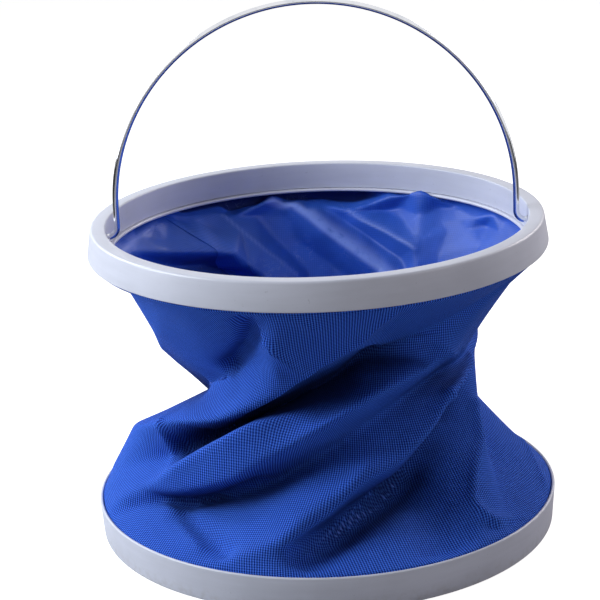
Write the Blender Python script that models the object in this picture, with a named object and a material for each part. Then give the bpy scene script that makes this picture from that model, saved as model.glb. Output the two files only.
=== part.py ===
"""Collapsible camp bucket: a twisted coated-cloth wall between two moulded hoops, with a wire bail.

Lengths are metres and Z is up. The origin is on the ground under the middle of the base. X runs
through the bail's two pivots, and -Y is the side that is looked at. The bucket stands half
collapsed: its rim is turned and lowered over the base, and the wall is drawn in to a waist.
"""
import math

import bmesh
import bpy
import numpy as np
from mathutils import Matrix, Vector
from mathutils.bvhtree import BVHTree

for old_object in list(bpy.data.objects):
    bpy.data.objects.remove(old_object, do_unlink=True)

# Fits and finish shared by all pieces
CLEARANCE = 0.0003
RING_SIDES = 64
CORNER_STEPS = 2
CUT_OVERRUN = 0.0020
MERGE_DISTANCE = 0.00001
SHARP_ANGLE = math.radians(35)
FULL_TURN = 360

# Rim: outer hoop with an inverted channel section
BASE_HEIGHT = 0.0234
WALL_STAND = 0.1681
RIM_HEIGHT = 0.01835
RIM_BORE_RADIUS = 0.1373
RIM_LIP_WIDTH = 0.0097
RIM_SKIRT_FLARE = 0.0030
RIM_SHELL = 0.0022
RIM_INNER_WALL = 0.0020
RIM_INNER_WALL_HEIGHT = 0.0178
RIM_LIP_ROUND = 0.0018
RIM_EDGE_ROUND = 0.0008

# Rim: clamp hoop that closes the channel and holds the cloth's upper hem
CLAMP_NOSE_REACH = 0.0023
CLAMP_FLANGE = 0.0022
CLAMP_WEB = 0.0016
CLAMP_WEB_HEIGHT = 0.0050
SNAP_BEAD = 0.0005
SNAP_BEAD_WIDTH = 0.0012
SNAP_BEAD_RISE = 0.0026

# Bail: round wire with upset ends behind the rim's inner wall
WIRE_DIAMETER = 0.0040
PIVOT_DROP = 0.00905
PIVOT_HOLE_PLAY = 0.0009
BAIL_LEG_INSET = 0.0073
BAIL_BEND_RADIUS = 0.0060
BAIL_ARCH_RISE = 0.0182
UPSET_DIAMETER = 0.0068
UPSET_LENGTH = 0.0016
UPSET_SEAT_PLAY = 0.0004
UPSET_CHAMFER = 0.0004
WIRE_SIDES = 10
ARCH_STEPS = 44
BEND_STEPS = 5

# Base: outer hoop that the bucket stands on. It stands out past the rim, which folds down on it.
BASE_STEP_OUT = 0.0035
BASE_TAPER = 0.0017
BASE_SHELL = 0.0022
BASE_FOOT_WIDTH = 0.0128
BASE_FOOT_THICKNESS = 0.0022
BASE_EDGE_ROUND = 0.0010

# Base: inner hoop that presses the cloth into the outer one
HOLD_WEB = 0.0020
HOLD_HEIGHT = 0.0136
HOLD_FLANGE_WIDTH = 0.0062
HOLD_FLANGE = 0.0018
HOLD_EDGE_ROUND = 0.0006
BARB_REACH = 0.0003
BARB_WIDTH = 0.0012
BARB_RISES = (0.0050, 0.0090)

# Cloth: wall, floor pan and the tapes over their seams
CLOTH_THICKNESS = 0.0008
UPPER_HEM = 0.0050
FLOOR_UPTURN = 0.0100
FLOOR_BEND = 0.0012
TAPE_THICKNESS = 0.0004
FLOOR_TAPE_WIDTH = 0.0130
SIDE_TAPE_WIDTH = 0.0180
SIDE_TAPE_END_MARGIN = 0.0030
SIDE_TAPE_SEAT = 0.0005
SIDE_TAPE_ROWS = 40
SIDE_TAPE_COLUMNS = 4
SIDE_SEAM_ANGLE = math.radians(62)

# Folds of the standing wall, drawn in to a waist. Crests and valleys take turns, and each one
# climbs from the base to the rim. Its points are (degrees round the wall, share of the open
# height, share of the way in from the hoops to the waist).
WALL_COLUMNS = 56
REST_TURN = math.radians(78)
WAIST_RADIUS = 0.0710
FOLD_END_SHARE = 0.020
FOLD_LINE_SHARES = (
    ((90, 0.00, 0.00), (105, 0.09, 0.33), (150, 0.29, 0.81), (180, 0.42, 0.96),
     (206, 0.50, 0.88), (249, 0.78, 0.52), (253, 0.87, 0.33), (256, 0.97, 0.06),
     (258, 1.00, 0.00)),
    ((125, 0.00, 0.00), (150, 0.15, 0.23), (190, 0.32, 0.29), (216, 0.44, 0.37),
     (232, 0.49, 0.42), (265, 0.72, 0.44), (282, 0.86, 0.33), (292, 1.00, 0.00)),
    ((160, 0.00, 0.00), (185, 0.13, 0.13), (228, 0.39, 0.83), (260, 0.55, 0.96),
     (277, 0.62, 0.95), (289, 0.72, 0.87), (325, 0.87, 0.38), (335, 1.00, 0.00)),
    ((185, 0.00, 0.00), (207, 0.16, 0.23), (228, 0.37, 0.32), (266, 0.50, 0.41),
     (290, 0.62, 0.48), (321, 0.68, 0.54), (345, 0.90, 0.26), (353, 1.00, 0.00)),
    ((198, 0.00, 0.00), (206, 0.08, 0.23), (233, 0.15, 0.71), (273, 0.34, 1.00),
     (307, 0.50, 0.88), (338, 0.59, 0.68), (398, 0.73, 0.58), (409, 0.87, 0.36),
     (415, 1.00, 0.00)),
    ((238, 0.00, 0.00), (258, 0.13, 0.12), (266, 0.20, 0.27), (283, 0.30, 0.43),
     (293, 0.33, 0.44), (321, 0.51, 0.54), (345, 0.56, 0.60), (400, 0.67, 0.36),
     (425, 0.85, 0.20), (440, 1.00, 0.00)),
    ((250, 0.00, 0.00), (260, 0.09, 0.13), (272, 0.09, 0.36), (308, 0.21, 0.81),
     (322, 0.34, 0.86), (349, 0.52, 0.69), (375, 0.57, 0.73), (424, 0.72, 0.65),
     (448, 0.89, 0.33), (463, 1.00, 0.00)),
    ((308, 0.00, 0.00), (315, 0.08, 0.18), (321, 0.17, 0.36), (333, 0.27, 0.47),
     (356, 0.49, 0.60), (380, 0.54, 0.50), (440, 0.75, 0.23), (477, 1.00, 0.00)),
    ((318, 0.00, 0.00), (342, 0.18, 0.51), (352, 0.29, 0.66), (370, 0.43, 0.78),
     (430, 0.62, 0.81), (461, 0.74, 0.67), (474, 0.88, 0.36), (478, 0.96, 0.11),
     (482, 1.00, 0.00)),
    ((345, 0.00, 0.00), (385, 0.23, 0.45), (410, 0.38, 0.53), (462, 0.63, 0.42),
     (498, 1.00, 0.00)),
    ((365, 0.00, 0.00), (380, 0.13, 0.41), (450, 0.49, 0.88), (481, 0.76, 0.71),
     (498, 0.94, 0.19), (505, 1.00, 0.00)),
    ((385, 0.00, 0.00), (400, 0.13, 0.21), (475, 0.52, 0.42), (500, 0.69, 0.36),
     (535, 1.00, 0.00)),
    ((405, 0.00, 0.00), (420, 0.11, 0.41), (490, 0.49, 0.88), (530, 0.78, 0.54),
     (543, 0.87, 0.34), (575, 0.97, 0.15), (589, 1.00, 0.00)),
    ((428, 0.00, 0.00), (445, 0.11, 0.18), (470, 0.23, 0.30), (545, 0.63, 0.53),
     (570, 0.80, 0.37), (594, 1.00, 0.00)),
)

RIM_LIP_RADIUS = RIM_BORE_RADIUS + RIM_LIP_WIDTH
BASE_TOP_RADIUS = RIM_LIP_RADIUS + RIM_SKIRT_FLARE + BASE_STEP_OUT
RIM_SKIRT_BOTTOM = BASE_HEIGHT + WALL_STAND
RIM_TOP = RIM_SKIRT_BOTTOM + RIM_HEIGHT
PIVOT_HEIGHT = RIM_TOP - PIVOT_DROP
WIRE_RADIUS = WIRE_DIAMETER / 2


def material(name, colour, roughness, metallic=0.0):
    """Principled surface of one piece."""
    surface = bpy.data.materials.new(name)
    surface.use_nodes = True
    shader = surface.node_tree.nodes["Principled BSDF"]
    shader.inputs["Base Color"].default_value = (*colour, 1.0)
    shader.inputs["Roughness"].default_value = roughness
    shader.inputs["Metallic"].default_value = metallic
    return surface


def place(name, form, surface, origin=Vector(), parent=None):
    """Puts a finished form in the scene, with its mesh measured from origin."""
    bmesh.ops.recalc_face_normals(form, faces=form.faces)
    bmesh.ops.translate(form, verts=form.verts, vec=-origin)
    mesh = bpy.data.meshes.new(name)
    form.to_mesh(mesh)
    form.free()
    mesh.shade_smooth()
    mesh.set_sharp_from_angle(angle=SHARP_ANGLE)
    mesh.materials.append(surface)
    piece = bpy.data.objects.new(name, mesh)
    bpy.context.collection.objects.link(piece)
    piece.parent = parent
    if parent is None:
        piece.location = origin
    else:
        piece.location = origin - parent.matrix_world.translation
    return piece


def carrier(name, origin, parent=None):
    """Empty on a joint's axis, which carries what moves with it."""
    empty = bpy.data.objects.new(name, None)
    bpy.context.collection.objects.link(empty)
    empty.parent = parent
    empty.location = origin
    if parent is not None:
        empty.location = origin - parent.matrix_world.translation
    bpy.context.view_layer.update()
    return empty


def rounded(corners):
    """Outline from (radius, height, rounding) corners, with an arc at each rounded one."""
    outline = []
    for index, (radius, height, rounding) in enumerate(corners):
        corner = Vector((radius, height))
        if rounding == 0:
            outline.append(corner)
            continue
        before = Vector(corners[index - 1][:2]) - corner
        after = Vector(corners[(index + 1) % len(corners)][:2]) - corner
        half_angle = before.angle(after) / 2
        reach = min(rounding / math.tan(half_angle), before.length / 2, after.length / 2)
        start = corner + before.normalized() * reach
        end = corner + after.normalized() * reach
        bisector = (before.normalized() + after.normalized()).normalized()
        centre = corner + bisector * (reach / math.cos(half_angle))
        arc_radius = reach * math.tan(half_angle)
        for step in range(CORNER_STEPS + 1):
            share = step / CORNER_STEPS
            spoke = (start - centre).lerp(end - centre, share)
            outline.append(centre + spoke.normalized() * arc_radius)
    return outline


def turned(outline, sides=RING_SIDES):
    """Body of revolution about Z from a closed outline of (radius, height) points."""
    form = bmesh.new()
    points = [form.verts.new((point[0], 0, point[1])) for point in outline]
    edges = [form.edges.new((points[i - 1], points[i])) for i in range(len(points))]
    bmesh.ops.spin(form, geom=points + edges, cent=(0, 0, 0), axis=(0, 0, 1),
                   angle=math.tau, steps=sides, use_merge=True)
    bmesh.ops.remove_doubles(form, verts=form.verts, dist=MERGE_DISTANCE)
    on_axis = [edge for edge in form.edges if not edge.link_faces]
    bmesh.ops.delete(form, geom=on_axis, context="EDGES")
    return form


def chord_drop(radius, sides):
    """How far the middle of a polygon's side lies inside the circle through its corners."""
    return radius * (1 - math.cos(math.pi / sides))


def skirt_radius(height):
    """Outer radius of the rim's flaring skirt."""
    return RIM_LIP_RADIUS + RIM_SKIRT_FLARE * (RIM_TOP - height) / RIM_HEIGHT


def base_radius(height):
    """Outer radius of the base's tapering band."""
    return BASE_TOP_RADIUS - BASE_TAPER * (BASE_HEIGHT - height) / BASE_HEIGHT


def base_lining(height):
    """Outer radius of the cloth where it lines the base's band."""
    bore = base_radius(height) - BASE_SHELL
    return bore - chord_drop(bore, RING_SIDES) - CLEARANCE


def floor_lining(height):
    """Outer radius of the floor's upturned edge, inside the wall's lower hem."""
    bore = base_lining(height) - CLOTH_THICKNESS
    return bore - chord_drop(bore, WALL_COLUMNS) - CLEARANCE


def tape_lining(height):
    """Outer radius of the tape over the floor seam."""
    return floor_lining(height) - CLOTH_THICKNESS - CLEARANCE


def hold_lining(height):
    """Outer radius of the base's inner hoop, inside the tape."""
    return tape_lining(height) - TAPE_THICKNESS - CLEARANCE


# Rim clamp places, worked out from the outer hoop's channel
inner_wall_foot = RIM_TOP - RIM_INNER_WALL_HEIGHT
inner_wall_back = RIM_BORE_RADIUS + RIM_INNER_WALL
clamp_top_of_flange = inner_wall_foot - CLEARANCE
clamp_underside = clamp_top_of_flange - CLAMP_FLANGE
clamp_web_top = clamp_top_of_flange + CLAMP_WEB_HEIGHT
upper_hem_top = RIM_SKIRT_BOTTOM + UPPER_HEM
upper_hem_bore = skirt_radius(upper_hem_top) - RIM_SHELL
upper_hem_radius = upper_hem_bore - chord_drop(upper_hem_bore, RING_SIDES) - CLEARANCE
clamp_seat_bore = upper_hem_radius - CLOTH_THICKNESS
clamp_outer_radius = clamp_seat_bore - chord_drop(clamp_seat_bore, WALL_COLUMNS) - CLEARANCE
snap_height = clamp_top_of_flange + SNAP_BEAD_RISE

# Base places, from the ground up
floor_underside = BASE_FOOT_THICKNESS + CLEARANCE
floor_top = floor_underside + CLOTH_THICKNESS
floor_upturn_top = floor_top + FLOOR_UPTURN
hold_underside = floor_top + CLEARANCE
floor_tape_foot = floor_top + CLOTH_THICKNESS

# Open wall between its two hems
wall_foot = BASE_HEIGHT
wall_head = clamp_underside - CLEARANCE
wall_open = wall_head - wall_foot


def slope_at(slopes, steps, index):
    """Slopes of a smooth line at a point of its table, level where the table turns back."""
    if index in (0, len(steps)):
        return slopes[min(index, len(steps) - 1)]
    before, after = slopes[index - 1], slopes[index]
    turns_back = before * after <= 0
    weight_before = 2 * steps[index] + steps[index - 1]
    weight_after = steps[index] + 2 * steps[index - 1]
    divisor = np.where(turns_back, 1, weight_before * after + weight_after * before)
    return np.where(turns_back, 0, (weight_before + weight_after) * before * after / divisor)


def fold_line_shares(line, degrees):
    """Height share and closing share of a fold line at an angle, without overshoot."""
    table = np.array(line)
    steps = np.diff(table[:, 0])
    slopes = np.diff(table[:, 1:], axis=0) / steps[:, None]
    index = min(int(np.searchsorted(table[:, 0], degrees)) - 1, len(steps) - 1)
    span = steps[index]
    share = (degrees - table[index, 0]) / span
    rest = 1 - share
    return (table[index, 1:] * (1 + 2 * share) * rest ** 2
            + table[index + 1, 1:] * (1 + 2 * rest) * share ** 2
            + slope_at(slopes, steps, index) * span * share * rest ** 2
            - slope_at(slopes, steps, index + 1) * span * rest * share ** 2)


def on_spoke(degrees, radius, height):
    """Point at an angle round the bucket."""
    angle = math.radians(degrees)
    return Vector((radius * math.cos(angle), radius * math.sin(angle), height))


def wall_point(degrees, height_share, closing_share):
    """Point on the outer side of the open wall."""
    foot_radius = base_lining(wall_foot)
    hoop_radius = foot_radius + (upper_hem_radius - foot_radius) * height_share
    radius = hoop_radius + (WAIST_RADIUS - hoop_radius) * closing_share
    return on_spoke(degrees, radius, wall_foot + wall_open * height_share)


def wall_section(degrees):
    """Cloth at one angle, from the lower hem up, as (name of the fold line, point)."""
    crossed = []
    for number, line in enumerate(FOLD_LINE_SHARES):
        for lap in (0, 1):
            angle = degrees + FULL_TURN * lap
            if not line[0][0] < angle < line[-1][0]:
                continue
            height_share, closing_share = fold_line_shares(line, angle)
            if FOLD_END_SHARE < height_share < 1 - FOLD_END_SHARE:
                point = wall_point(degrees, height_share, closing_share)
                crossed.append(((number, lap), point))
    crossed.sort(key=lambda crossing: crossing[1].z)
    lower_hem = [("hem edge", on_spoke(degrees, base_lining(floor_underside), floor_underside)),
                 ("foot", wall_point(degrees, 0, 0))]
    upper_hem = [("head", wall_point(degrees, 1, 0)),
                 ("rim edge", on_spoke(degrees, upper_hem_radius, upper_hem_top))]
    return lower_hem + crossed + upper_hem


plastic = material("pale_grey_plastic", (0.60, 0.62, 0.72), 0.38)
clamp_plastic = material("clamp_plastic", (0.62, 0.64, 0.74), 0.35)
base_plastic = material("base_plastic", (0.60, 0.62, 0.72), 0.38)
hold_plastic = material("hold_plastic", (0.58, 0.60, 0.70), 0.40)
chromed_wire = material("chromed_wire", (0.62, 0.64, 0.70), 0.12, 1.0)
blue_cloth = material("blue_cloth", (0.02, 0.09, 0.48), 0.62)
floor_cloth = material("floor_cloth", (0.02, 0.08, 0.42), 0.45)
side_tape_film = material("side_tape_film", (0.03, 0.10, 0.46), 0.35)
floor_tape_film = material("floor_tape_film", (0.03, 0.10, 0.44), 0.35)

turn_axis = carrier("rim_twist_axis", Vector((0, 0, 0)))
lift_axis = carrier("rim_lift_axis", Vector((0, 0, RIM_SKIRT_BOTTOM)), turn_axis)


def rim_outer_hoop():
    """Inverted channel: flaring skirt, flat lip and inner wall, with a pivot hole each side."""
    lip_underside = RIM_TOP - RIM_SHELL
    groove_low = snap_height - SNAP_BEAD_WIDTH
    groove_high = snap_height + SNAP_BEAD_WIDTH
    groove_floor = inner_wall_back - SNAP_BEAD
    outline = rounded([
        (skirt_radius(RIM_SKIRT_BOTTOM), RIM_SKIRT_BOTTOM, RIM_EDGE_ROUND),
        (RIM_LIP_RADIUS, RIM_TOP, RIM_LIP_ROUND),
        (RIM_BORE_RADIUS, RIM_TOP, RIM_EDGE_ROUND),
        (RIM_BORE_RADIUS, inner_wall_foot, 0),
        (inner_wall_back, inner_wall_foot, 0),
        (inner_wall_back, groove_low, 0),
        (groove_floor, snap_height, 0),
        (inner_wall_back, groove_high, 0),
        (inner_wall_back, lip_underside, 0),
        (RIM_LIP_RADIUS - RIM_SHELL, lip_underside, 0),
        (skirt_radius(RIM_SKIRT_BOTTOM) - RIM_SHELL, RIM_SKIRT_BOTTOM, 0),
    ])
    hoop = place("rim_outer_hoop", turned(outline), plastic,
                 Vector((0, 0, RIM_SKIRT_BOTTOM)), lift_axis)

    drill_form = bmesh.new()
    bmesh.ops.create_cone(drill_form, cap_ends=True, segments=WIRE_SIDES * 2,
                          radius1=WIRE_RADIUS + PIVOT_HOLE_PLAY,
                          radius2=WIRE_RADIUS + PIVOT_HOLE_PLAY,
                          depth=(inner_wall_back + CUT_OVERRUN) * 2,
                          matrix=Matrix.Rotation(math.pi / 2, 4, "Y"))
    bmesh.ops.translate(drill_form, verts=drill_form.verts, vec=(0, 0, PIVOT_HEIGHT))
    drill = place("pivot_drill", drill_form, plastic)
    drill.hide_render = True
    drill.display_type = "WIRE"
    holes = hoop.modifiers.new("pivot_holes", "BOOLEAN")
    holes.operation = "DIFFERENCE"
    holes.solver = "EXACT"
    holes.object = drill


def rim_inner_hoop():
    """Clamp hoop under the channel: rounded nose, snap web and a web that pinches the cloth."""
    nose = RIM_BORE_RADIUS - CLAMP_NOSE_REACH
    snap_web = inner_wall_back + CLEARANCE
    bead_low = snap_height - SNAP_BEAD_WIDTH + CLEARANCE
    bead_high = snap_height + SNAP_BEAD_WIDTH - CLEARANCE
    outline = rounded([
        (nose, clamp_underside, CLAMP_FLANGE / 2),
        (clamp_outer_radius, clamp_underside, 0),
        (clamp_outer_radius, clamp_web_top, 0),
        (clamp_outer_radius - CLAMP_WEB, clamp_web_top, 0),
        (clamp_outer_radius - CLAMP_WEB, clamp_top_of_flange, 0),
        (snap_web + CLAMP_WEB, clamp_top_of_flange, 0),
        (snap_web + CLAMP_WEB, clamp_web_top, 0),
        (snap_web, clamp_web_top, 0),
        (snap_web, bead_high, 0),
        (snap_web - SNAP_BEAD, snap_height, 0),
        (snap_web, bead_low, 0),
        (snap_web, clamp_top_of_flange, 0),
        (nose, clamp_top_of_flange, CLAMP_FLANGE / 2),
    ])
    place("rim_inner_hoop", turned(outline), clamp_plastic,
          Vector((0, 0, RIM_SKIRT_BOTTOM)), lift_axis)


def bail_route():
    """Wire's centre line as (point, wire radius), from the left upset end to the right one."""
    leg = RIM_BORE_RADIUS - BAIL_LEG_INSET
    bend_start = leg + BAIL_BEND_RADIUS
    upset_radius = UPSET_DIAMETER / 2
    upset_face = inner_wall_back + UPSET_SEAT_PLAY
    upset_end = upset_face + UPSET_LENGTH
    arch_centre = PIVOT_HEIGHT + BAIL_ARCH_RISE
    left = [
        (Vector((-upset_end, 0, PIVOT_HEIGHT)), upset_radius - UPSET_CHAMFER),
        (Vector((-upset_end + UPSET_CHAMFER, 0, PIVOT_HEIGHT)), upset_radius),
        (Vector((-upset_face - UPSET_CHAMFER, 0, PIVOT_HEIGHT)), upset_radius),
        (Vector((-upset_face, 0, PIVOT_HEIGHT)), WIRE_RADIUS),
    ]
    for step in range(BEND_STEPS + 1):
        turn = math.pi / 2 * step / BEND_STEPS
        along = math.sin(turn) * BAIL_BEND_RADIUS
        up = BAIL_BEND_RADIUS - math.cos(turn) * BAIL_BEND_RADIUS
        left.append((Vector((-bend_start + along, 0, PIVOT_HEIGHT + up)), WIRE_RADIUS))
    right = [(Vector((-point.x, 0, point.z)), radius) for point, radius in reversed(left)]
    arch = []
    for step in range(ARCH_STEPS + 1):
        turn = math.pi * step / ARCH_STEPS
        point = Vector((-math.cos(turn) * leg, 0, arch_centre + math.sin(turn) * leg))
        arch.append((point, WIRE_RADIUS))
    return left + arch + right


def bail_wire():
    """Round wire lofted along its route, with both upset ends part of the same wire."""
    route = bail_route()
    form = bmesh.new()
    rings = []
    for index, (point, radius) in enumerate(route):
        before = route[max(index - 1, 0)][0]
        after = route[min(index + 1, len(route) - 1)][0]
        along = (after - before).normalized()
        across = Vector((0, 1, 0))
        third = along.cross(across)
        ring = []
        for side in range(WIRE_SIDES):
            turn = math.tau * side / WIRE_SIDES
            offset = (across * math.cos(turn) + third * math.sin(turn)) * radius
            ring.append(form.verts.new(point + offset))
        rings.append(ring)
    for low, high in zip(rings, rings[1:]):
        for side in range(WIRE_SIDES):
            form.faces.new((low[side - 1], low[side], high[side], high[side - 1]))
    form.faces.new(rings[0])
    form.faces.new(rings[-1])
    place("bail_wire", form, chromed_wire, Vector((0, 0, PIVOT_HEIGHT)), lift_axis)


def base_outer_hoop():
    """Tapering band with a round top edge and an inward foot that the bucket stands on."""
    foot_edge = base_radius(0) - BASE_FOOT_WIDTH
    outline = rounded([
        (foot_edge, 0, 0),
        (base_radius(0), 0, BASE_EDGE_ROUND),
        (base_radius(BASE_HEIGHT), BASE_HEIGHT, BASE_EDGE_ROUND),
        (base_radius(BASE_HEIGHT) - BASE_SHELL, BASE_HEIGHT, BASE_EDGE_ROUND),
        (base_radius(BASE_FOOT_THICKNESS) - BASE_SHELL, BASE_FOOT_THICKNESS, 0),
        (foot_edge, BASE_FOOT_THICKNESS, 0),
    ])
    place("base_outer_hoop", turned(outline), base_plastic)


def base_inner_hoop():
    """Barbed web that presses the cloth outwards, stiffened by an inward flange."""
    top = hold_underside + HOLD_HEIGHT
    outer = [(hold_lining(hold_underside) - BARB_REACH, hold_underside, 0)]
    for rise in BARB_RISES:
        height = hold_underside + rise
        low = height - BARB_WIDTH
        outer.append((hold_lining(low) - BARB_REACH, low, 0))
        outer.append((hold_lining(height), height, 0))
        outer.append((hold_lining(height) - BARB_REACH, height, 0))
    outer.append((hold_lining(top) - BARB_REACH, top, HOLD_EDGE_ROUND))
    web_back = hold_lining(hold_underside) - BARB_REACH - HOLD_WEB
    inner = [
        (hold_lining(top) - BARB_REACH - HOLD_WEB, top, HOLD_EDGE_ROUND),
        (web_back, hold_underside + HOLD_FLANGE, 0),
        (web_back - HOLD_FLANGE_WIDTH, hold_underside + HOLD_FLANGE, HOLD_EDGE_ROUND),
        (web_back - HOLD_FLANGE_WIDTH, hold_underside, 0),
    ]
    place("base_inner_hoop", turned(rounded(outer + inner)), hold_plastic)


def fabric_floor():
    """Coated cloth disc whose edge turns up inside the wall's lower hem."""
    outline = rounded([
        (0, floor_underside, 0),
        (floor_lining(floor_underside), floor_underside, FLOOR_BEND),
        (floor_lining(floor_upturn_top), floor_upturn_top, 0),
        (floor_lining(floor_upturn_top) - CLOTH_THICKNESS, floor_upturn_top, 0),
        (floor_lining(floor_top) - CLOTH_THICKNESS, floor_top, FLOOR_BEND),
        (0, floor_top, 0),
    ])
    place("fabric_floor", turned(outline), floor_cloth)


def floor_seam_tape():
    """Welded band over the stitches that join the floor's upturned edge to the wall."""
    top = floor_tape_foot + FLOOR_TAPE_WIDTH
    outline = [
        (tape_lining(floor_tape_foot), floor_tape_foot),
        (tape_lining(top), top),
        (tape_lining(top) - TAPE_THICKNESS, top),
        (tape_lining(floor_tape_foot) - TAPE_THICKNESS, floor_tape_foot),
    ]
    place("floor_seam_tape", turned(outline), floor_tape_film)


def cloth_between(form, left, right):
    """Triangles from one section of cloth to the next, with each fold line as an edge.

    A line that starts between them fans out from the foot, and one that ends runs out below
    the head. Sections are lists of (name of the fold line, vertex).
    """
    left_names = [name for name, _ in left]
    right_names = [name for name, _ in right]
    here, there = 0, 0
    while here + 1 < len(left) or there + 1 < len(right):
        low_left, low_right = left[here][1], right[there][1]
        if right_names[there + 1] not in left_names:
            there += 1
            form.faces.new((low_left, low_right, right[there][1]))
        elif left_names[here + 1] not in right_names:
            here += 1
            form.faces.new((low_left, low_right, left[here][1]))
        else:
            here += 1
            there += 1
            high_left, high_right = left[here][1], right[there][1]
            rising = (high_right.co - low_left.co).length
            falling = (high_left.co - low_right.co).length
            if rising < falling:
                form.faces.new((low_left, low_right, high_right))
                form.faces.new((low_left, high_right, high_left))
            else:
                form.faces.new((low_left, low_right, high_left))
                form.faces.new((low_right, high_right, high_left))


def fabric_wall():
    """Twisted wall, drawn in to its waist, which stands in slanting folds."""
    form = bmesh.new()
    sections = []
    for column in range(WALL_COLUMNS):
        section = wall_section(FULL_TURN * column / WALL_COLUMNS)
        sections.append([(name, form.verts.new(point)) for name, point in section])
    # The first section closes the wall, a lap further along its fold lines
    names = [name for name, _ in wall_section(FULL_TURN)]
    sections.append([(name, vertex) for name, (_, vertex) in zip(names, sections[0])])
    for left, right in zip(sections, sections[1:]):
        cloth_between(form, left, right)
    wall = place("fabric_wall", form, blue_cloth, Vector((0, 0, 0)), turn_axis)
    thickness = wall.modifiers.new("cloth_thickness", "SOLIDIFY")
    thickness.thickness = CLOTH_THICKNESS
    thickness.offset = -1
    return wall


def side_seam_tape(wall):
    """Tape over the wall's upright seam, laid on the inner side of the folded cloth."""
    bpy.context.view_layer.update()
    lining = BVHTree.FromObject(wall, bpy.context.evaluated_depsgraph_get())
    low = hold_underside + HOLD_HEIGHT + SIDE_TAPE_END_MARGIN
    high = clamp_underside - SIDE_TAPE_END_MARGIN
    rows = SIDE_TAPE_ROWS
    columns = SIDE_TAPE_COLUMNS
    mean_radius = (upper_hem_radius + WAIST_RADIUS) / 2

    def spoke_at(row, column):
        """Start on the bucket's middle line, direction to the cloth and reach to it."""
        height = low + (high - low) * row / rows
        aside = SIDE_TAPE_WIDTH * (column / columns - 1 / 2)
        turn = REST_TURN * (height - wall_foot) / wall_open
        angle = SIDE_SEAM_ANGLE + turn + aside / mean_radius
        start = Vector((0, 0, height))
        spoke = Vector((math.cos(angle), math.sin(angle), 0))
        return start, spoke, lining.ray_cast(start, spoke)[3]

    nearby = [(row / 2, column / 2) for row in (-2, -1, 0, 1, 2) for column in (-2, -1, 0, 1, 2)]
    form = bmesh.new()
    sheets = ([], [])
    for row in range(rows + 1):
        for sheet in sheets:
            sheet.append([])
        for column in range(columns + 1):
            start, spoke, _ = spoke_at(row, column)
            reach = min(spoke_at(row + up, column + side)[2] for up, side in nearby)
            for sheet, depth in zip(sheets, (SIDE_TAPE_SEAT, SIDE_TAPE_SEAT + TAPE_THICKNESS)):
                sheet[row].append(form.verts.new(start + spoke * (reach - depth)))
    for sheet in sheets:
        for row in range(rows):
            for column in range(columns):
                form.faces.new((sheet[row][column], sheet[row][column + 1],
                                sheet[row + 1][column + 1], sheet[row + 1][column]))
    border = [(row, 0) for row in range(rows)]
    border += [(rows, column) for column in range(columns)]
    border += [(row, columns) for row in range(rows, 0, -1)]
    border += [(0, column) for column in range(columns, 0, -1)]
    seat_side, open_side = sheets
    for index, (row, column) in enumerate(border):
        next_row, next_column = border[(index + 1) % len(border)]
        form.faces.new((seat_side[row][column], seat_side[next_row][next_column],
                        open_side[next_row][next_column], open_side[row][column]))
    place("side_seam_tape", form, side_tape_film, Vector((0, 0, 0)), turn_axis)


rim_outer_hoop()
rim_inner_hoop()
bail_wire()
base_outer_hoop()
base_inner_hoop()
fabric_floor()
floor_seam_tape()
side_seam_tape(fabric_wall())
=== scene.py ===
import math
import bmesh
import bpy
import numpy as np
from mathutils import Matrix, Vector
from mathutils.bvhtree import BVHTree
from mathutils.geometry import delaunay_2d_cdt


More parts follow.
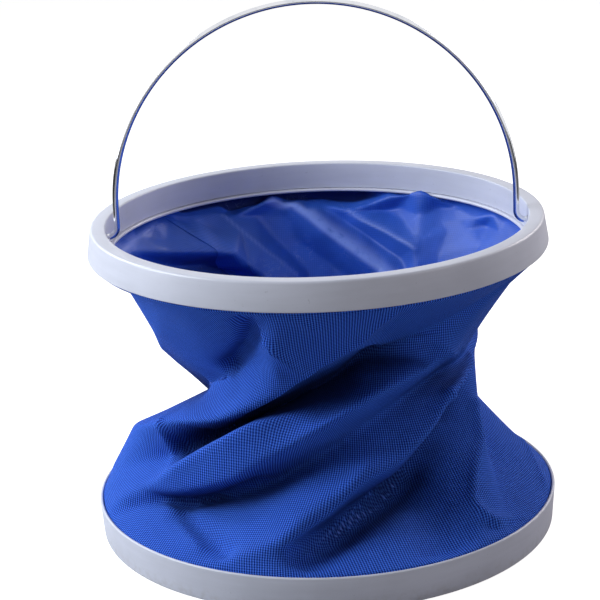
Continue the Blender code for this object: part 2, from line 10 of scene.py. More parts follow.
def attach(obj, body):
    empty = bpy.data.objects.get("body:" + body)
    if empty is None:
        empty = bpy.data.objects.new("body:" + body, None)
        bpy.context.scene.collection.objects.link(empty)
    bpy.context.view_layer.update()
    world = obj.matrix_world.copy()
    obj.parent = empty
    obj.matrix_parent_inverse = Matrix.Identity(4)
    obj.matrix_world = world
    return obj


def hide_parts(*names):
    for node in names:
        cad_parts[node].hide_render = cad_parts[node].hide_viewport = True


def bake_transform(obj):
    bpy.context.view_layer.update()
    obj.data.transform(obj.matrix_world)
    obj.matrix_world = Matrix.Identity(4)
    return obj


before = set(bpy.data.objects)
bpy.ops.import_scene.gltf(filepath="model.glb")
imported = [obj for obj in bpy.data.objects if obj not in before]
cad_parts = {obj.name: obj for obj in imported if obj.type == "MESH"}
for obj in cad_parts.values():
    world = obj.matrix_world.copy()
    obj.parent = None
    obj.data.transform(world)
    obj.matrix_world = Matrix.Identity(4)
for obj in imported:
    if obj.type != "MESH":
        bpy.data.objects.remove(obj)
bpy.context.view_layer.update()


# Base band: the tapering hoop that the bucket stands on, with a round top edge.
# Injection-moulded polypropylene, pale lavender grey, satin from a lightly eroded mould.
# The cloth's lower hem is pressed against its inner side.
class Value:
    """A number socket of a material, which arithmetic can be written with."""

    def __init__(self, paint, socket):
        self.paint, self.socket = paint, socket

    def made(self, operation, *others, clamp=False):
        node = self.paint.tree.nodes.new("ShaderNodeMath")
        node.operation = operation
        node.use_clamp = clamp
        for number, value in enumerate((self, *others)):
            self.paint.feed(node.inputs[number], value)
        return Value(self.paint, node.outputs[0])

    def __add__(self, other):
        return self.made("ADD", other)

    def __mul__(self, other):
        return self.made("MULTIPLY", other)

    def __sub__(self, other):
        return self.made("SUBTRACT", other)

    def __rsub__(self, other):
        return (self * -1.0) + other

    def __pow__(self, other):
        return self.made("POWER", other)

    __radd__ = __add__

    def sine(self):
        return self.made("SINE")

    def floor(self):
        return self.made("FLOOR")

    def fraction(self):
        return self.made("FRACT")

    def size(self):
        return self.made("ABSOLUTE")

    def clipped(self):
        return self.made("ADD", 0.0, clamp=True)

    def ramp(self, low, high):
        """0 below low and 1 above high, and smooth between them."""
        node = self.paint.node("ShaderNodeMapRange", {"interpolation_type": "SMOOTHSTEP"},
                               {0: self, 1: low, 2: high, 3: 0.0, 4: 1.0})
        return Value(self.paint, node.outputs[0])


class Paint:
    """A material under construction around one Principled shader."""

    def __init__(self, name):
        self.material = bpy.data.materials.new(name)
        self.material.use_nodes = True
        self.tree = self.material.node_tree
        self.shader = self.tree.nodes["Principled BSDF"]

    def feed(self, socket, value):
        if isinstance(value, Value):
            self.tree.links.new(value.socket, socket)
        elif isinstance(value, bpy.types.NodeSocket):
            self.tree.links.new(value, socket)
        elif isinstance(value, tuple) and len(value) == 3 and socket.type == "RGBA":
            socket.default_value = (*value, 1.0)
        else:
            socket.default_value = value

    def node(self, kind, settings=None, values=None):
        made = self.tree.nodes.new(kind)
        for key, setting in (settings or {}).items():
            setattr(made, key, setting)
        for key, value in (values or {}).items():
            self.feed(made.inputs[key], value)
        return made

    def place(self):
        return self.node("ShaderNodeTexCoord").outputs["Object"]

    def stretched(self, vector, scale):
        return self.node("ShaderNodeMapping", {}, {"Vector": vector, "Scale": scale}).outputs[0]

    def parts(self, vector):
        made = self.node("ShaderNodeSeparateXYZ", {}, {0: vector})
        return [Value(self, socket) for socket in made.outputs]

    def noise(self, vector, scale, detail=3.0, roughness=0.55, distortion=0.0):
        made = self.node("ShaderNodeTexNoise", {}, {
            "Vector": vector, "Scale": scale, "Detail": detail,
            "Roughness": roughness, "Distortion": distortion})
        return Value(self, made.outputs["Fac"])

    def mix(self, share, low, high):
        made = self.node("ShaderNodeMix", {"data_type": "RGBA"}, {0: share, 6: low, 7: high})
        return made.outputs[2]

    def bump(self, height, distance, strength=1.0, under=None):
        values = {"Height": height, "Distance": distance, "Strength": strength}
        if under is not None:
            values["Normal"] = under
        return self.node("ShaderNodeBump", {}, values).outputs[0]

    def finish(self, **values):
        for key, value in values.items():
            self.feed(self.shader.inputs[key.replace("_", " ").title().replace("Ior", "IOR")],
                      value)
        return self.material


def moulded(name, colour, roughness, dust_height=None):
    """Satin moulded plastic: eroded grain, faint flow streaks, rub marks and, low down, dust."""
    paint = Paint(name)
    place = paint.place()
    grain = paint.noise(place, 2600.0, 2.0)
    flow = paint.noise(paint.stretched(place, (14.0, 14.0, 160.0)), 1.0, 3.0)
    cloud = paint.noise(place, 18.0, 3.0)
    rubs = paint.noise(paint.stretched(place, (60.0, 60.0, 1400.0)), 1.0, 4.0, 0.7).ramp(0.62, 0.74)
    pits = paint.noise(place, 420.0, 2.0).ramp(0.71, 0.76)
    darker = tuple(part * 0.90 for part in colour)
    tint = paint.mix((cloud * 0.6 + flow * 0.4).ramp(0.35, 0.65), darker, colour)
    tint = paint.mix(pits * 0.35, tint, tuple(part * 0.55 for part in colour))
    if dust_height is not None:
        height = paint.parts(place)[2]
        dust = (1.0 - height.ramp(0.0, dust_height)) * paint.noise(place, 240.0, 4.0).ramp(0.4, 0.7)
        tint = paint.mix(dust * 0.30, tint, (0.36, 0.33, 0.30))
    gloss = (flow * 0.10 + rubs * 0.14 + (roughness - 0.06)).clipped()
    normal = paint.bump(grain, 0.00003, 0.6)
    normal = paint.bump(cloud, 0.0006, 0.5, normal)
    return paint.finish(base_color=tint, roughness=gloss, normal=normal)


def softened(outline, steps=5):
    """Outline of (radius, height, corner radius) points with its corners rounded by arcs."""
    points = []
    for number, (radius, height, corner) in enumerate(outline):
        here = Vector((radius, height))
        if corner == 0:
            points.append(here)
            continue
        before = Vector(outline[number - 1][:2]) - here
        after = Vector(outline[(number + 1) % len(outline)][:2]) - here
        reach = corner / math.tan(before.angle(after) / 2)
        start = here + before.normalized() * reach
        end = here + after.normalized() * reach
        middle = here + (before.normalized() + after.normalized()).normalized() * math.hypot(
            corner, reach)
        first, last = (start - middle), (end - middle)
        for step in range(steps + 1):
            spread = first.angle(last)
            share = step / steps
            arm = (first * math.sin((1 - share) * spread) + last * math.sin(share * spread))
            points.append(middle + arm / math.sin(spread))
    return points


def hoop(name, outline, surface, wander=0.0, seed=0.0, sides=288):
    """Turned hoop from (radius, height, corner radius) points. Its section wanders a little off
    the true circle, as a moulding does."""
    form = bmesh.new()
    section = softened(outline)
    rings = []
    for side in range(sides):
        angle = math.tau * side / sides
        off = wander * (math.sin(3 * angle + seed) + 0.6 * math.sin(5 * angle + 2.1 * seed))
        rings.append([form.verts.new(((p.x + off) * math.cos(angle),
                                      (p.x + off) * math.sin(angle), p.y)) for p in section])
    for side in range(sides):
        here, there = rings[side], rings[(side + 1) % sides]
        for low in range(len(section)):
            high = (low + 1) % len(section)
            form.faces.new((here[low], there[low], there[high], here[high]))
    bmesh.ops.recalc_face_normals(form, faces=form.faces)
    return finished(name, form, surface)


def finished(name, form, *surfaces, sharp=32):
    """Mesh object at the origin from a bmesh, smooth apart from its sharp edges."""
    mesh = bpy.data.meshes.new(name)
    form.to_mesh(mesh)
    form.free()
    made = bpy.data.objects.new(name, mesh)
    bpy.context.collection.objects.link(made)
    for surface in surfaces:
        mesh.materials.append(surface)
    shaded(mesh, sharp)
    return made


def shaded(mesh, sharp=32):
    """Smooth shading, apart from edges sharper than an angle in degrees."""
    mesh.shade_smooth()
    mesh.set_sharp_from_angle(angle=math.radians(sharp))


def made_real(piece):
    """Mesh of a piece with its modifiers, which are then taken off it."""
    bpy.context.view_layer.update()
    mesh = bpy.data.meshes.new_from_object(
        piece.evaluated_get(bpy.context.evaluated_depsgraph_get()))
    piece.modifiers.clear()
    piece.data = mesh
    return mesh


base_plastic = moulded("base_band_plastic", (0.640, 0.665, 0.775), 0.36, dust_height=0.012)
base_band = hoop("base_band", [
    (0.13918, 0.0, 0.0006), (0.1518, 0.0, 0.0014), (0.1535, 0.0234, 0.00105),
    (0.1513, 0.0234, 0.00105), (0.14975, 0.0022, 0.0004), (0.13918, 0.0022, 0.0006),
], base_plastic, wander=0.00006, seed=1.3)
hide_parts("base_outer_hoop")
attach(base_band, "base")


# Base clamp: a barbed hoop of the same plastic, snapped inside the band from above.
# Its two barbs press the cloth, the floor's upturned edge and the tape against the band.
base_clamp = hoop("base_clamp_hoop", [
    (0.14561, 0.0036, 0.0002), (0.14595, 0.0074, 0.0), (0.14628, 0.0086, 0.0),
    (0.14598, 0.0086, 0.0), (0.14622, 0.0114, 0.0), (0.14657, 0.0126, 0.0),
    (0.14627, 0.0126, 0.0), (0.14659, 0.0172, 0.0007), (0.14459, 0.0172, 0.0007),
    (0.14361, 0.0054, 0.0008), (0.13741, 0.0054, 0.0006), (0.13741, 0.0036, 0.0006),
], moulded("base_clamp_plastic", (0.62, 0.64, 0.75), 0.40), wander=0.00004, seed=0.4)
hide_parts("base_inner_hoop")
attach(base_clamp, "base")


# Rim: an inverted channel moulded in one, with a flaring skirt, a flat lip and an inner wall.
# Same satin polypropylene as the base. The bail's ends pass through a hole in each side of
# its inner wall.
rim_plastic = moulded("rim_plastic_satin", (0.640, 0.665, 0.775), 0.35)
rim_shell = hoop("rim_shell", [
    (0.1500, 0.1915, 0.0009), (0.1470, 0.20985, 0.0019), (0.1373, 0.20985, 0.0010),
    (0.1373, 0.19205, 0.0004), (0.1393, 0.19205, 0.0004), (0.1393, 0.19315, 0.0),
    (0.1388, 0.19435, 0.0), (0.1393, 0.19555, 0.0), (0.1393, 0.20765, 0.0006),
    (0.1448, 0.20765, 0.0006), (0.1478, 0.1915, 0.0006),
], rim_plastic, wander=0.00008, seed=2.2)
PIVOT_HEIGHT, HOLE_RADIUS, DRILL_LENGTH = 0.2008, 0.0029, 0.2826
drill_form = bmesh.new()
bmesh.ops.create_cone(drill_form, cap_ends=True, segments=40, radius1=HOLE_RADIUS,
                      radius2=HOLE_RADIUS, depth=DRILL_LENGTH,
                      matrix=Matrix.Rotation(math.pi / 2, 4, "Y"))
bmesh.ops.translate(drill_form, verts=drill_form.verts, vec=(0, 0, PIVOT_HEIGHT))
drill = finished("hole_drill", drill_form, rim_plastic)
cut = rim_shell.modifiers.new("holes", "BOOLEAN")
cut.operation, cut.solver, cut.object = "DIFFERENCE", "EXACT", drill
shaded(made_real(rim_shell))
bpy.data.objects.remove(drill)
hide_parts("rim_outer_hoop")
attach(rim_shell, "rim")


# Rim clamp: the hoop that closes the channel from below. Its rounded nose stands proud of
# the inner wall as a bright bead, and its outer web pinches the cloth's upper hem.
rim_clamp = hoop("rim_clamp_hoop", [
    (0.1350, 0.18955, 0.00108), (0.14485, 0.18955, 0.0003), (0.14485, 0.19675, 0.0004),
    (0.14325, 0.19675, 0.0004), (0.14325, 0.19175, 0.0003), (0.1412, 0.19175, 0.0003),
    (0.1412, 0.19675, 0.0004), (0.1396, 0.19675, 0.0004), (0.1396, 0.19525, 0.0),
    (0.1391, 0.19435, 0.0), (0.1396, 0.19345, 0.0), (0.1396, 0.19175, 0.0),
    (0.1350, 0.19175, 0.00108),
], moulded("rim_clamp_plastic", (0.66, 0.68, 0.80), 0.30), wander=0.00005, seed=0.9)
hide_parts("rim_inner_hoop")
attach(rim_clamp, "rim")


# Bail: one length of 4 mm steel wire, drawn, bent to an arch and chromed. Both ends are bent
# outwards through the rim's inner wall and upset behind it, so that they can't pull out.
def chromed(name):
    """Bright chrome over drawn wire: fine lengthwise die lines, haze and small pits."""
    paint = Paint(name)
    place = paint.place()
    along = paint.node("ShaderNodeUVMap", {"uv_map": "length"}).outputs[0]
    lines = paint.noise(paint.stretched(along, (6.0, 900.0, 1.0)), 1.0, 3.0)
    haze = paint.noise(place, 90.0, 4.0)
    pits = paint.noise(place, 1300.0, 2.0).ramp(0.70, 0.75)
    tint = paint.mix(haze.ramp(0.45, 0.75), (0.78, 0.79, 0.83), (0.66, 0.68, 0.73))
    tint = paint.mix(pits, tint, (0.22, 0.20, 0.18))
    gloss = (lines * 0.06 + haze * 0.08 + pits * 0.30 + 0.03).clipped()
    normal = paint.bump(lines, 0.00002, 0.5)
    return paint.finish(base_color=tint, roughness=gloss, metallic=1.0, normal=normal)


WIRE_RADIUS, WIRE_GIRTH = 0.0020, 0.0126


def bail_route():
    """Wire's centre line as (point, wire radius), from the left upset end to the right one."""
    leg, bend, shank = 0.1300, 0.0060, 0.0182
    bend_steps, arch_steps = 12, 160
    left = [(-0.1413, 0.0028), (-0.14122, 0.0032), (-0.1409, 0.0034), (-0.1402, 0.0034),
            (-0.13985, 0.0032), (-0.1397, 0.0026), (-0.13955, WIRE_RADIUS)]
    route = [(Vector((x, 0, PIVOT_HEIGHT)), radius) for x, radius in left]
    for step in range(bend_steps + 1):
        turn = math.pi / 2 * step / bend_steps
        route.append((Vector((-leg - bend + math.sin(turn) * bend, 0,
                              PIVOT_HEIGHT + bend - math.cos(turn) * bend)), WIRE_RADIUS))
    one_side = route[:]
    for step in range(arch_steps + 1):
        turn = math.pi * step / arch_steps
        route.append((Vector((-math.cos(turn) * leg, 0,
                              PIVOT_HEIGHT + shank + math.sin(turn) * leg)), WIRE_RADIUS))
    return route + [(Vector((-p.x, 0, p.z)), radius) for p, radius in reversed(one_side)]


def lofted(name, route, surface, sides=20):
    """Tube through (point, radius) pairs in the plane y = 0, with a UV map along its length."""
    form = bmesh.new()
    uv = form.loops.layers.uv.new("length")
    rings, run = [], [0.0]
    for number, (point, radius) in enumerate(route):
        before, after = route[max(number - 1, 0)][0], route[min(number + 1, len(route) - 1)][0]
        along = (after - before).normalized()
        third = along.cross(Vector((0, 1, 0)))
        if number:
            run.append(run[-1] + (point - route[number - 1][0]).length)
        rings.append([form.verts.new(point + (Vector((0, 1, 0)) * math.cos(math.tau * s / sides)
                                              + third * math.sin(math.tau * s / sides)) * radius)
                      for s in range(sides)])
    for number in range(len(rings) - 1):
        for side in range(sides):
            other = (side + 1) % sides
            face = form.faces.new((rings[number][side], rings[number][other],
                                   rings[number + 1][other], rings[number + 1][side]))
            for loop, (length, turn) in zip(face.loops, (
                    (run[number], side), (run[number], side + 1),
                    (run[number + 1], side + 1), (run[number + 1], side))):
                loop[uv].uv = (length, turn / sides * WIRE_GIRTH)
    form.faces.new(rings[0])
    form.faces.new(rings[-1])
    bmesh.ops.recalc_face_normals(form, faces=form.faces)
    return finished(name, form, surface, sharp=50)


bail = lofted("bail", bail_route(), chromed("chromed_steel"))
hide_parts("bail_wire")
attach(bail, "bail")


# Wall: one piece of coated Oxford cloth, sewn to a tube and cut 0.93 m round and 0.28 m long.
# Its hems are clamped in the two hoops, and the rim is turned 78 degrees over the base, so
# it is drawn in to a waist and stands in deep slanting folds. The weave shows outside; the
# inner side has a smooth, glossier coating with pale creases.
WALL_FOOT, WALL_HEAD = (23.4, 150.8), (189.2, 146.5)
WALL_TURN = 78.0
# The open cloth's two ends are (height, radius) in millimetres. Each fold line runs from the
# base (its first angle) to the rim (its last one). Its points are (angle in degrees, height and
# radius in millimetres); crests and valleys take turns. On the seen side, points are partly
# copied from another program that placed points picked one by one. The back's points are listed.
FOLD_LINES = [
    (90, [(105, 38, 124), (125, 52, 104), (150, 72, 86), (180, 93, 74), (206, 106, 80),
          (239, 136, 95), (249, 153, 108), (253, 168, 122), (256, 185, 142)], 258),
    (125, [(150, 48, 132), (165, 59, 130), (180, 69, 128), (190, 77, 127), (216, 97, 120),
           (232, 104, 116), (244, 116, 114), (258, 132, 113), (265, 143, 114), (275, 155, 117),
           (282, 166, 122), (289, 182, 136)], 292),
    (160, [(185, 45, 140), (200, 60, 122), (207, 66, 112), (216, 75, 98), (228, 88, 84),
           (242, 99, 76), (260, 114, 74), (277, 127, 75), (289, 142, 81), (300, 149, 90),
           (312, 155, 100), (325, 168, 118)], 335),
    (185, [(198, 40, 140), (207, 50, 132), (219, 71, 128), (228, 85, 124), (236, 96, 122.5),
           (242, 104, 121), (248, 110, 118), (254, 112, 112), (260, 113.5, 105), (268, 116, 98),
           (278, 122, 94), (290, 133, 96), (305, 140, 101), (321, 149, 109), (333, 165, 122),
           (343, 180, 136)], 350),
    (191, [(201, 40, 141), (208, 47, 131), (217, 51.5, 127), (229, 61, 124), (242, 73, 122),
           (250, 85, 121), (259, 96, 119.5), (266, 105, 118), (278, 117, 115), (290, 125, 111),
           (305, 130, 108), (321, 136.5, 106), (333, 151, 112), (345, 172, 127)], 356),
    (198, [(206, 36, 132), (213, 41, 119), (220, 43, 110), (233, 49, 102), (248, 60, 97),
           (258, 71, 96), (273, 86, 95), (289, 100, 91), (307, 110, 87), (321, 116, 88),
           (338, 121, 96), (370, 128, 98), (400, 140, 100), (410, 150, 103), (412, 164, 112),
           (413, 179, 124)], 415),
    (238, [(258, 45, 141), (266, 57, 129), (275, 67, 120), (283, 73, 116), (293, 78, 115),
           (298, 83, 114), (308, 93, 111), (321, 108, 107), (345, 117, 102), (375, 124, 110),
           (400, 134, 120), (425, 165, 132)], 440),
    (250, [(259, 36, 141), (268, 36, 120), (280, 41, 103), (293, 49, 92), (308, 62, 82),
           (322, 80, 80), (337, 98, 88), (349, 110, 95), (375, 118, 92), (400, 128, 92),
           (424, 142, 98), (438, 156, 110), (448, 171, 122), (456, 183, 134)], 463),
    (308, [(315, 36, 136), (321, 51, 122), (333, 68, 113), (343, 87, 105), (356, 104, 102),
           (380, 113, 110), (410, 126, 120), (440, 148, 130), (465, 175, 138)], 477),
    (318, [(330, 38, 127), (342, 53, 110), (352, 72, 98), (370, 95, 88), (395, 108, 84),
           (430, 126, 86), (461, 146, 96), (467, 156, 106), (474, 169, 120), (478, 182, 138)],
     482),
    (345, [(360, 38, 138), (385, 62, 114), (410, 86, 108), (440, 108, 110), (462, 128, 116),
           (475, 145, 124), (485, 165, 134)], 498),
    (365, [(380, 45, 118), (400, 62, 98), (425, 82, 84), (450, 105, 80), (470, 130, 85),
           (481, 149, 93), (489, 165, 108), (498, 180, 132)], 505),
    (385, [(400, 45, 134), (420, 65, 124), (445, 85, 118), (475, 110, 116), (500, 138, 120),
           (520, 165, 132)], 535),
    (405, [(420, 42, 118), (440, 60, 98), (465, 80, 84), (490, 105, 80), (510, 128, 88),
           (530, 152, 106), (543, 167, 121), (560, 177, 129), (575, 184, 135)], 589),
    (428, [(445, 42, 136), (470, 62, 126), (500, 85, 116), (525, 108, 108), (545, 128, 107),
           (570, 156, 119), (582, 174, 131)], 594),
]


def eased(points, angle):
    """Height and radius of a fold line at an angle, by cubic pieces that never overshoot."""
    table = np.array(points, float)
    steps = np.diff(table[:, 0])
    place = min(max(int(np.searchsorted(table[:, 0], angle)) - 1, 0), len(steps) - 1)
    share = (angle - table[place, 0]) / steps[place]
    values = []
    for column in (1, 2):
        slopes = np.diff(table[:, column]) / steps
        lean = []
        for at in (place, place + 1):
            if at in (0, len(steps)):
                lean.append(slopes[min(at, len(steps) - 1)])
            elif slopes[at - 1] * slopes[at] <= 0:
                lean.append(0.0)
            else:
                first = 2 * steps[at] + steps[at - 1]
                second = steps[at] + 2 * steps[at - 1]
                lean.append((first + second) / (first / slopes[at - 1] + second / slopes[at]))
        low, high = table[place, column], table[place + 1, column]
        values.append((1 + 2 * share) * (1 - share) ** 2 * low + share ** 2 * (3 - 2 * share) * high
                      + share * (1 - share) ** 2 * steps[place] * lean[0]
                      + share ** 2 * (share - 1) * steps[place] * lean[1])
    return values


def blurred(grid, width, axis):
    """Grid smoothed along one axis: the angle axis wraps, and the height axis keeps its ends."""
    reach = math.ceil(3 * width)
    weights = np.exp(-0.5 * (np.arange(-reach, reach + 1) / width) ** 2)
    weights /= weights.sum()
    count = grid.shape[axis]
    if axis == 0:
        longer = np.concatenate([grid[count - reach:], grid, grid[:reach]], 0)
    else:
        longer = np.concatenate([2 * grid[:, :1] - grid[:, reach:0:-1], grid,
                                 2 * grid[:, -1:] - grid[:, -2:-2 - reach:-1]], 1)
    out = np.zeros_like(grid)
    for step, weight in enumerate(weights):
        window = longer[step:step + count] if axis == 0 else longer[:, step:step + count]
        out += weight * window
    return out


def folded(columns, rows):
    """Open wall as (height, radius) per column and row, rows evenly spaced along the cloth."""
    grid = np.zeros((columns, rows + 1, 2))
    for column in range(columns):
        angle = 360 * column / columns
        crossed = []
        for start, points, end in FOLD_LINES:
            line = [(start, *WALL_FOOT)] + points + [(end, *WALL_HEAD)]
            for turn in (-360, 0, 360, 720):
                if start < angle + turn < end:
                    crossed.append((turn - start, *eased(line, angle + turn)))
        crossed.sort()
        section = np.array([WALL_FOOT] + [crossing[1:] for crossing in crossed] + [WALL_HEAD])
        run = np.concatenate([[0], np.cumsum(np.hypot(*np.diff(section, axis=0).T))])
        wanted = np.linspace(0, run[-1], rows + 1)
        grid[column, :, 0] = np.interp(wanted, run, section[:, 0])
        grid[column, :, 1] = np.interp(wanted, run, section[:, 1])
    ends = grid[:, [0, -1]].copy()
    grid = blurred(blurred(grid, FOLD_SOFTNESS, 0), FOLD_SOFTNESS, 1)
    grid[:, [0, -1]] = ends
    return grid / 1000


COLUMNS, OPEN_ROWS, FOLD_SOFTNESS = 320, 132, 0.85
open_wall = folded(COLUMNS, OPEN_ROWS)
lower_hem = [(0.0030, 0.14935), (0.0075, 0.14967), (0.0130, 0.15007), (0.0185, 0.15045)]
upper_hem = [(0.1928, 0.14650), (0.1962, 0.14650)]
sheet = np.concatenate([
    np.tile(np.array(lower_hem), (COLUMNS, 1, 1)), open_wall,
    np.tile(np.array(upper_hem), (COLUMNS, 1, 1))], 1)
angles = math.tau * np.arange(COLUMNS) / COLUMNS
outside = np.stack([sheet[:, :, 1] * np.cos(angles)[:, None],
                    sheet[:, :, 1] * np.sin(angles)[:, None], sheet[:, :, 0]], -1)


def grid_normals(grid):
    """Outward unit normals of a grid of points that wraps along its first axis."""
    round_way = np.roll(grid, -1, 0) - np.roll(grid, 1, 0)
    up_way = np.gradient(grid, axis=1)
    normal = np.cross(round_way, up_way)
    return normal / np.linalg.norm(normal, axis=2, keepdims=True)


# Smaller creases over the folds: (rise in millimetres, half width in millimetres, sharp, path),
# where a path is (angle in degrees, share of the cloth's open length from the base). The paths
# were picked in the photograph, but another program placed them on the wall.
CREASES = [
    (4.5, 3, True, [(252, 0.99), (253, 0.93), (255, 0.91), (259, 0.86), (263, 0.80)]),
    (4.5, 4, True, [(216, 0.63), (229, 0.71), (240, 0.76), (247, 0.81), (253, 0.87)]),
    (-8.0, 7, False, [(234, 0.76), (243, 0.82), (248, 0.87), (251, 0.93), (251, 0.97)]),
    (2.5, 4, True, [(225, 0.51), (243, 0.67), (258, 0.76), (265, 0.79), (273, 0.83), (282, 0.88),
                    (287, 0.97)]),
    (3.5, 5, True, [(281, 0.84), (293, 0.76), (305, 0.75), (312, 0.74), (328, 0.67)]),
    (-5.0, 8, False, [(292, 0.70), (302, 0.72), (310, 0.71)]),
    (2.0, 3, True, [(262, 0.99), (265, 0.98), (268, 0.95)]),
    (3.0, 3, True, [(342, 0.58), (320, 0.53), (324, 0.35), (304, 0.28)]),
    (3.0, 3, True, [(342, 0.40), (333, 0.27), (322, 0.18), (316, 0.12), (315, 0.07), (318, 0.02)]),
    (4.5, 5, True, [(258, 0.07), (262, 0.11), (270, 0.21), (276, 0.27), (282, 0.33)]),
    (-8.0, 12, False, [(263, 0.05), (269, 0.11), (280, 0.18), (293, 0.23), (303, 0.26)]),
    (3.0, 4, True, [(208, 0.39), (208, 0.33), (209, 0.27)]),
    (-4.0, 7, False, [(212, 0.34), (219, 0.42), (227, 0.49)]),
    (-4.5, 7, False, [(220, 0.11), (232, 0.08), (242, 0.04)]),
    (2.5, 4, True, [(210, 0.13), (222, 0.09), (234, 0.04)]),
    (2.0, 3, True, [(364, 0.11), (355, 0.08), (347, 0.02)]),
    (2.0, 3, True, [(315, 0.09), (318, 0.05), (323, 0.03)]),
    (-3.5, 5, False, [(210, 0.13), (220, 0.15), (234, 0.20), (246, 0.25)]),
    (-6.0, 18, False, [(302, 0.18), (301, 0.08), (299, 0.01)]),
    (-2.5, 4, False, [(315, 0.04), (319, 0.01), (324, 0.01)]),
]


# Creases fade out over this share of the cloth at both ends, and a sharp one's crest is rounded
# by so many millimetres.
HELD_SHARE, CREST_ROUND = 0.03, 0.7


def creased(grid, foot, head):
    """Grid with the creases raised along its normals; rows outside foot to head stay put."""
    columns, rows = grid.shape[:2]
    normals = grid_normals(grid)
    turn = 360.0 * np.arange(columns)[:, None] / columns
    share = ((np.arange(rows) - foot) / (head - foot))[None, :]
    radius = np.hypot(grid[:, :, 0], grid[:, :, 1]) * 1000
    length = np.linalg.norm(np.diff(grid[:, foot:head + 1], axis=1), axis=2).sum(1)[:, None] * 1000
    lift = np.zeros((columns, rows))
    for rise, width, sharp, path in CREASES:
        nearest = np.full((columns, rows), 1e9)
        for (turn_a, share_a), (turn_b, share_b) in zip(path, path[1:]):
            off = (turn - turn_a + 180) % 360 - 180
            x = np.radians(off) * radius
            y = (share - share_a) * length
            run_x = math.radians(turn_b - turn_a) * radius
            run_y = (share_b - share_a) * length
            along = np.clip((x * run_x + y * run_y) / (run_x ** 2 + run_y ** 2), 0, 1)
            nearest = np.minimum(nearest, np.hypot(x - along * run_x, y - along * run_y))
        if sharp:
            lift += rise * np.exp(-(np.hypot(nearest, CREST_ROUND) - CREST_ROUND) / width)
        else:
            lift += rise * np.exp(-(nearest / width) ** 2)
    open_share = np.clip(share, 0, 1)
    held = np.clip(np.minimum(open_share, 1 - open_share) / HELD_SHARE, 0, 1)
    return grid + normals * (lift * held)[:, :, None] / 1000


# Facets of the folds inside the back, as seen through the mouth: (kind, points) or (kind,
# points, share). A point is (angle in degrees, height and radius in millimetres), and the cloth
# is flat between neighbours. Kind 0 is loose points, 1 a fold edge, 2 an edge worn pale, with a
# painted highlight, and 3 a rounder edge worn paler, with a stronger painted highlight. A share
# says where along the cloth the points lie that a fold hides.
# Most were picked in the photograph, but another program worked out these numbers.
FACETS = [
    (1, [(64.5, 187, 133), (62, 189, 132.5), (58.5, 192, 132), (55, 195, 131.5),
         (52, 192.5, 132), (49.5, 190.5, 133)]),
    (0, [(66, 188, 134), (62, 188, 133), (57.5, 188, 133), (53, 188, 133),
         (49.5, 188, 134)], 0.971),
    (0, [(63, 187, 139), (57.5, 187, 139), (52, 187, 139)], 0.986),
    (1, [(55, 195, 131.5), (55, 177, 129), (53, 162, 118), (52, 148, 112), (51, 133, 107)]),
    (1, [(79, 176, 131), (72, 181, 134.5), (64.5, 187, 133)]),
    (2, [(79, 176, 131), (74.5, 171, 126), (66, 166, 119.5), (59, 161, 116), (53, 157, 114)]),
    (1, [(53, 157, 114), (53, 162, 118)]),
    (1, [(83, 180, 146), (78, 180, 146), (73, 183, 146)], 0.972),
    (0, [(73.5, 175, 135), (68.5, 175, 138.5), (64, 178.5, 138.5), (61, 170, 130)]),
    (0, [(50, 183, 138.5), (45.5, 183.5, 140), (44, 169, 130), (44.5, 154, 121)]),
    (1, [(48, 173, 131), (42, 176, 134), (35.5, 180, 135.5), (28.5, 186, 138)]),
    (0, [(32, 176, 140), (36.5, 172, 133), (29, 166, 128.5), (23, 177.5, 136), (23.5, 183.5, 140)]),
    (3, [(103, 186.5, 136), (99.5, 181, 138), (96, 182, 132), (92, 176, 125.5), (85, 165, 117),
         (77, 155, 110.5), (64, 141.5, 105), (51.5, 130, 103)]),
    (1, [(99, 172.5, 137), (97, 163, 133), (95, 154, 130.5), (85.5, 139.5, 123.5),
         (75.5, 128, 115.5)]),
    (1, [(88, 179, 138), (81, 167, 134.5), (72, 157, 127), (60, 147, 118)]),
    (1, [(97, 182, 146), (92.5, 182, 146), (87.5, 182, 146)], 0.972),
    (1, [(119, 180, 135.5), (114.5, 177, 135.5), (108, 182, 135.5), (103, 186.5, 136)]),
    (1, [(114.5, 179, 146), (110, 180, 146), (106, 181, 146)], 0.972),
    (1, [(108, 174.5, 138), (105, 164, 134), (100, 150, 127), (94, 136.5, 119)]),
    (2, [(119, 180, 135.5), (115.5, 170, 125.5), (109.5, 157, 115.5), (102.5, 145, 109),
         (98, 136.5, 105.5)]),
    (0, [(124, 173.5, 130)]),
    (1, [(129.5, 181, 136), (130, 175.5, 127), (130, 171, 120), (127, 164.5, 112),
         (123.5, 160, 104), (117.5, 148, 102), (111.5, 138.5, 100.5)]),
    (1, [(123.5, 160, 104), (131, 163.5, 107.5), (138.5, 166, 113), (146.5, 169, 121.5),
         (156, 174, 132), (161, 176, 137)]),
    (1, [(119, 143, 125), (127.5, 148.5, 130.5), (141, 155, 132), (150, 162.5, 133),
         (157, 169.5, 135.5)]),
    (0, [(133, 180.5, 142), (135, 172.5, 124.5), (143, 174.5, 131), (147, 178, 137)]),
    (2, [(163, 178, 138), (152, 181, 138.5), (142, 185.5, 141)]),
    (0, [(159, 183.5, 144), (149.5, 185.5, 145.5), (135.5, 185.5, 145)]),
]
FACET_AREA = (8, 178, 0.55, 1.0)
# Above this height, in millimetres, a point's share of the cloth grows by so much a millimetre.
UPPER_EDGE, UPPER_EDGE_SHARE, SHARE_PER_MILLIMETRE = 184, 0.935, 0.001
# The area is laid out flat in millimetres, and its border keeps the folded wall's own places.
DEGREE, OPEN_LENGTH = 2.2, 235.0
RING_ANGLES, RING_SHARES, FACET_SOFTNESS = 58, 16, 0.6
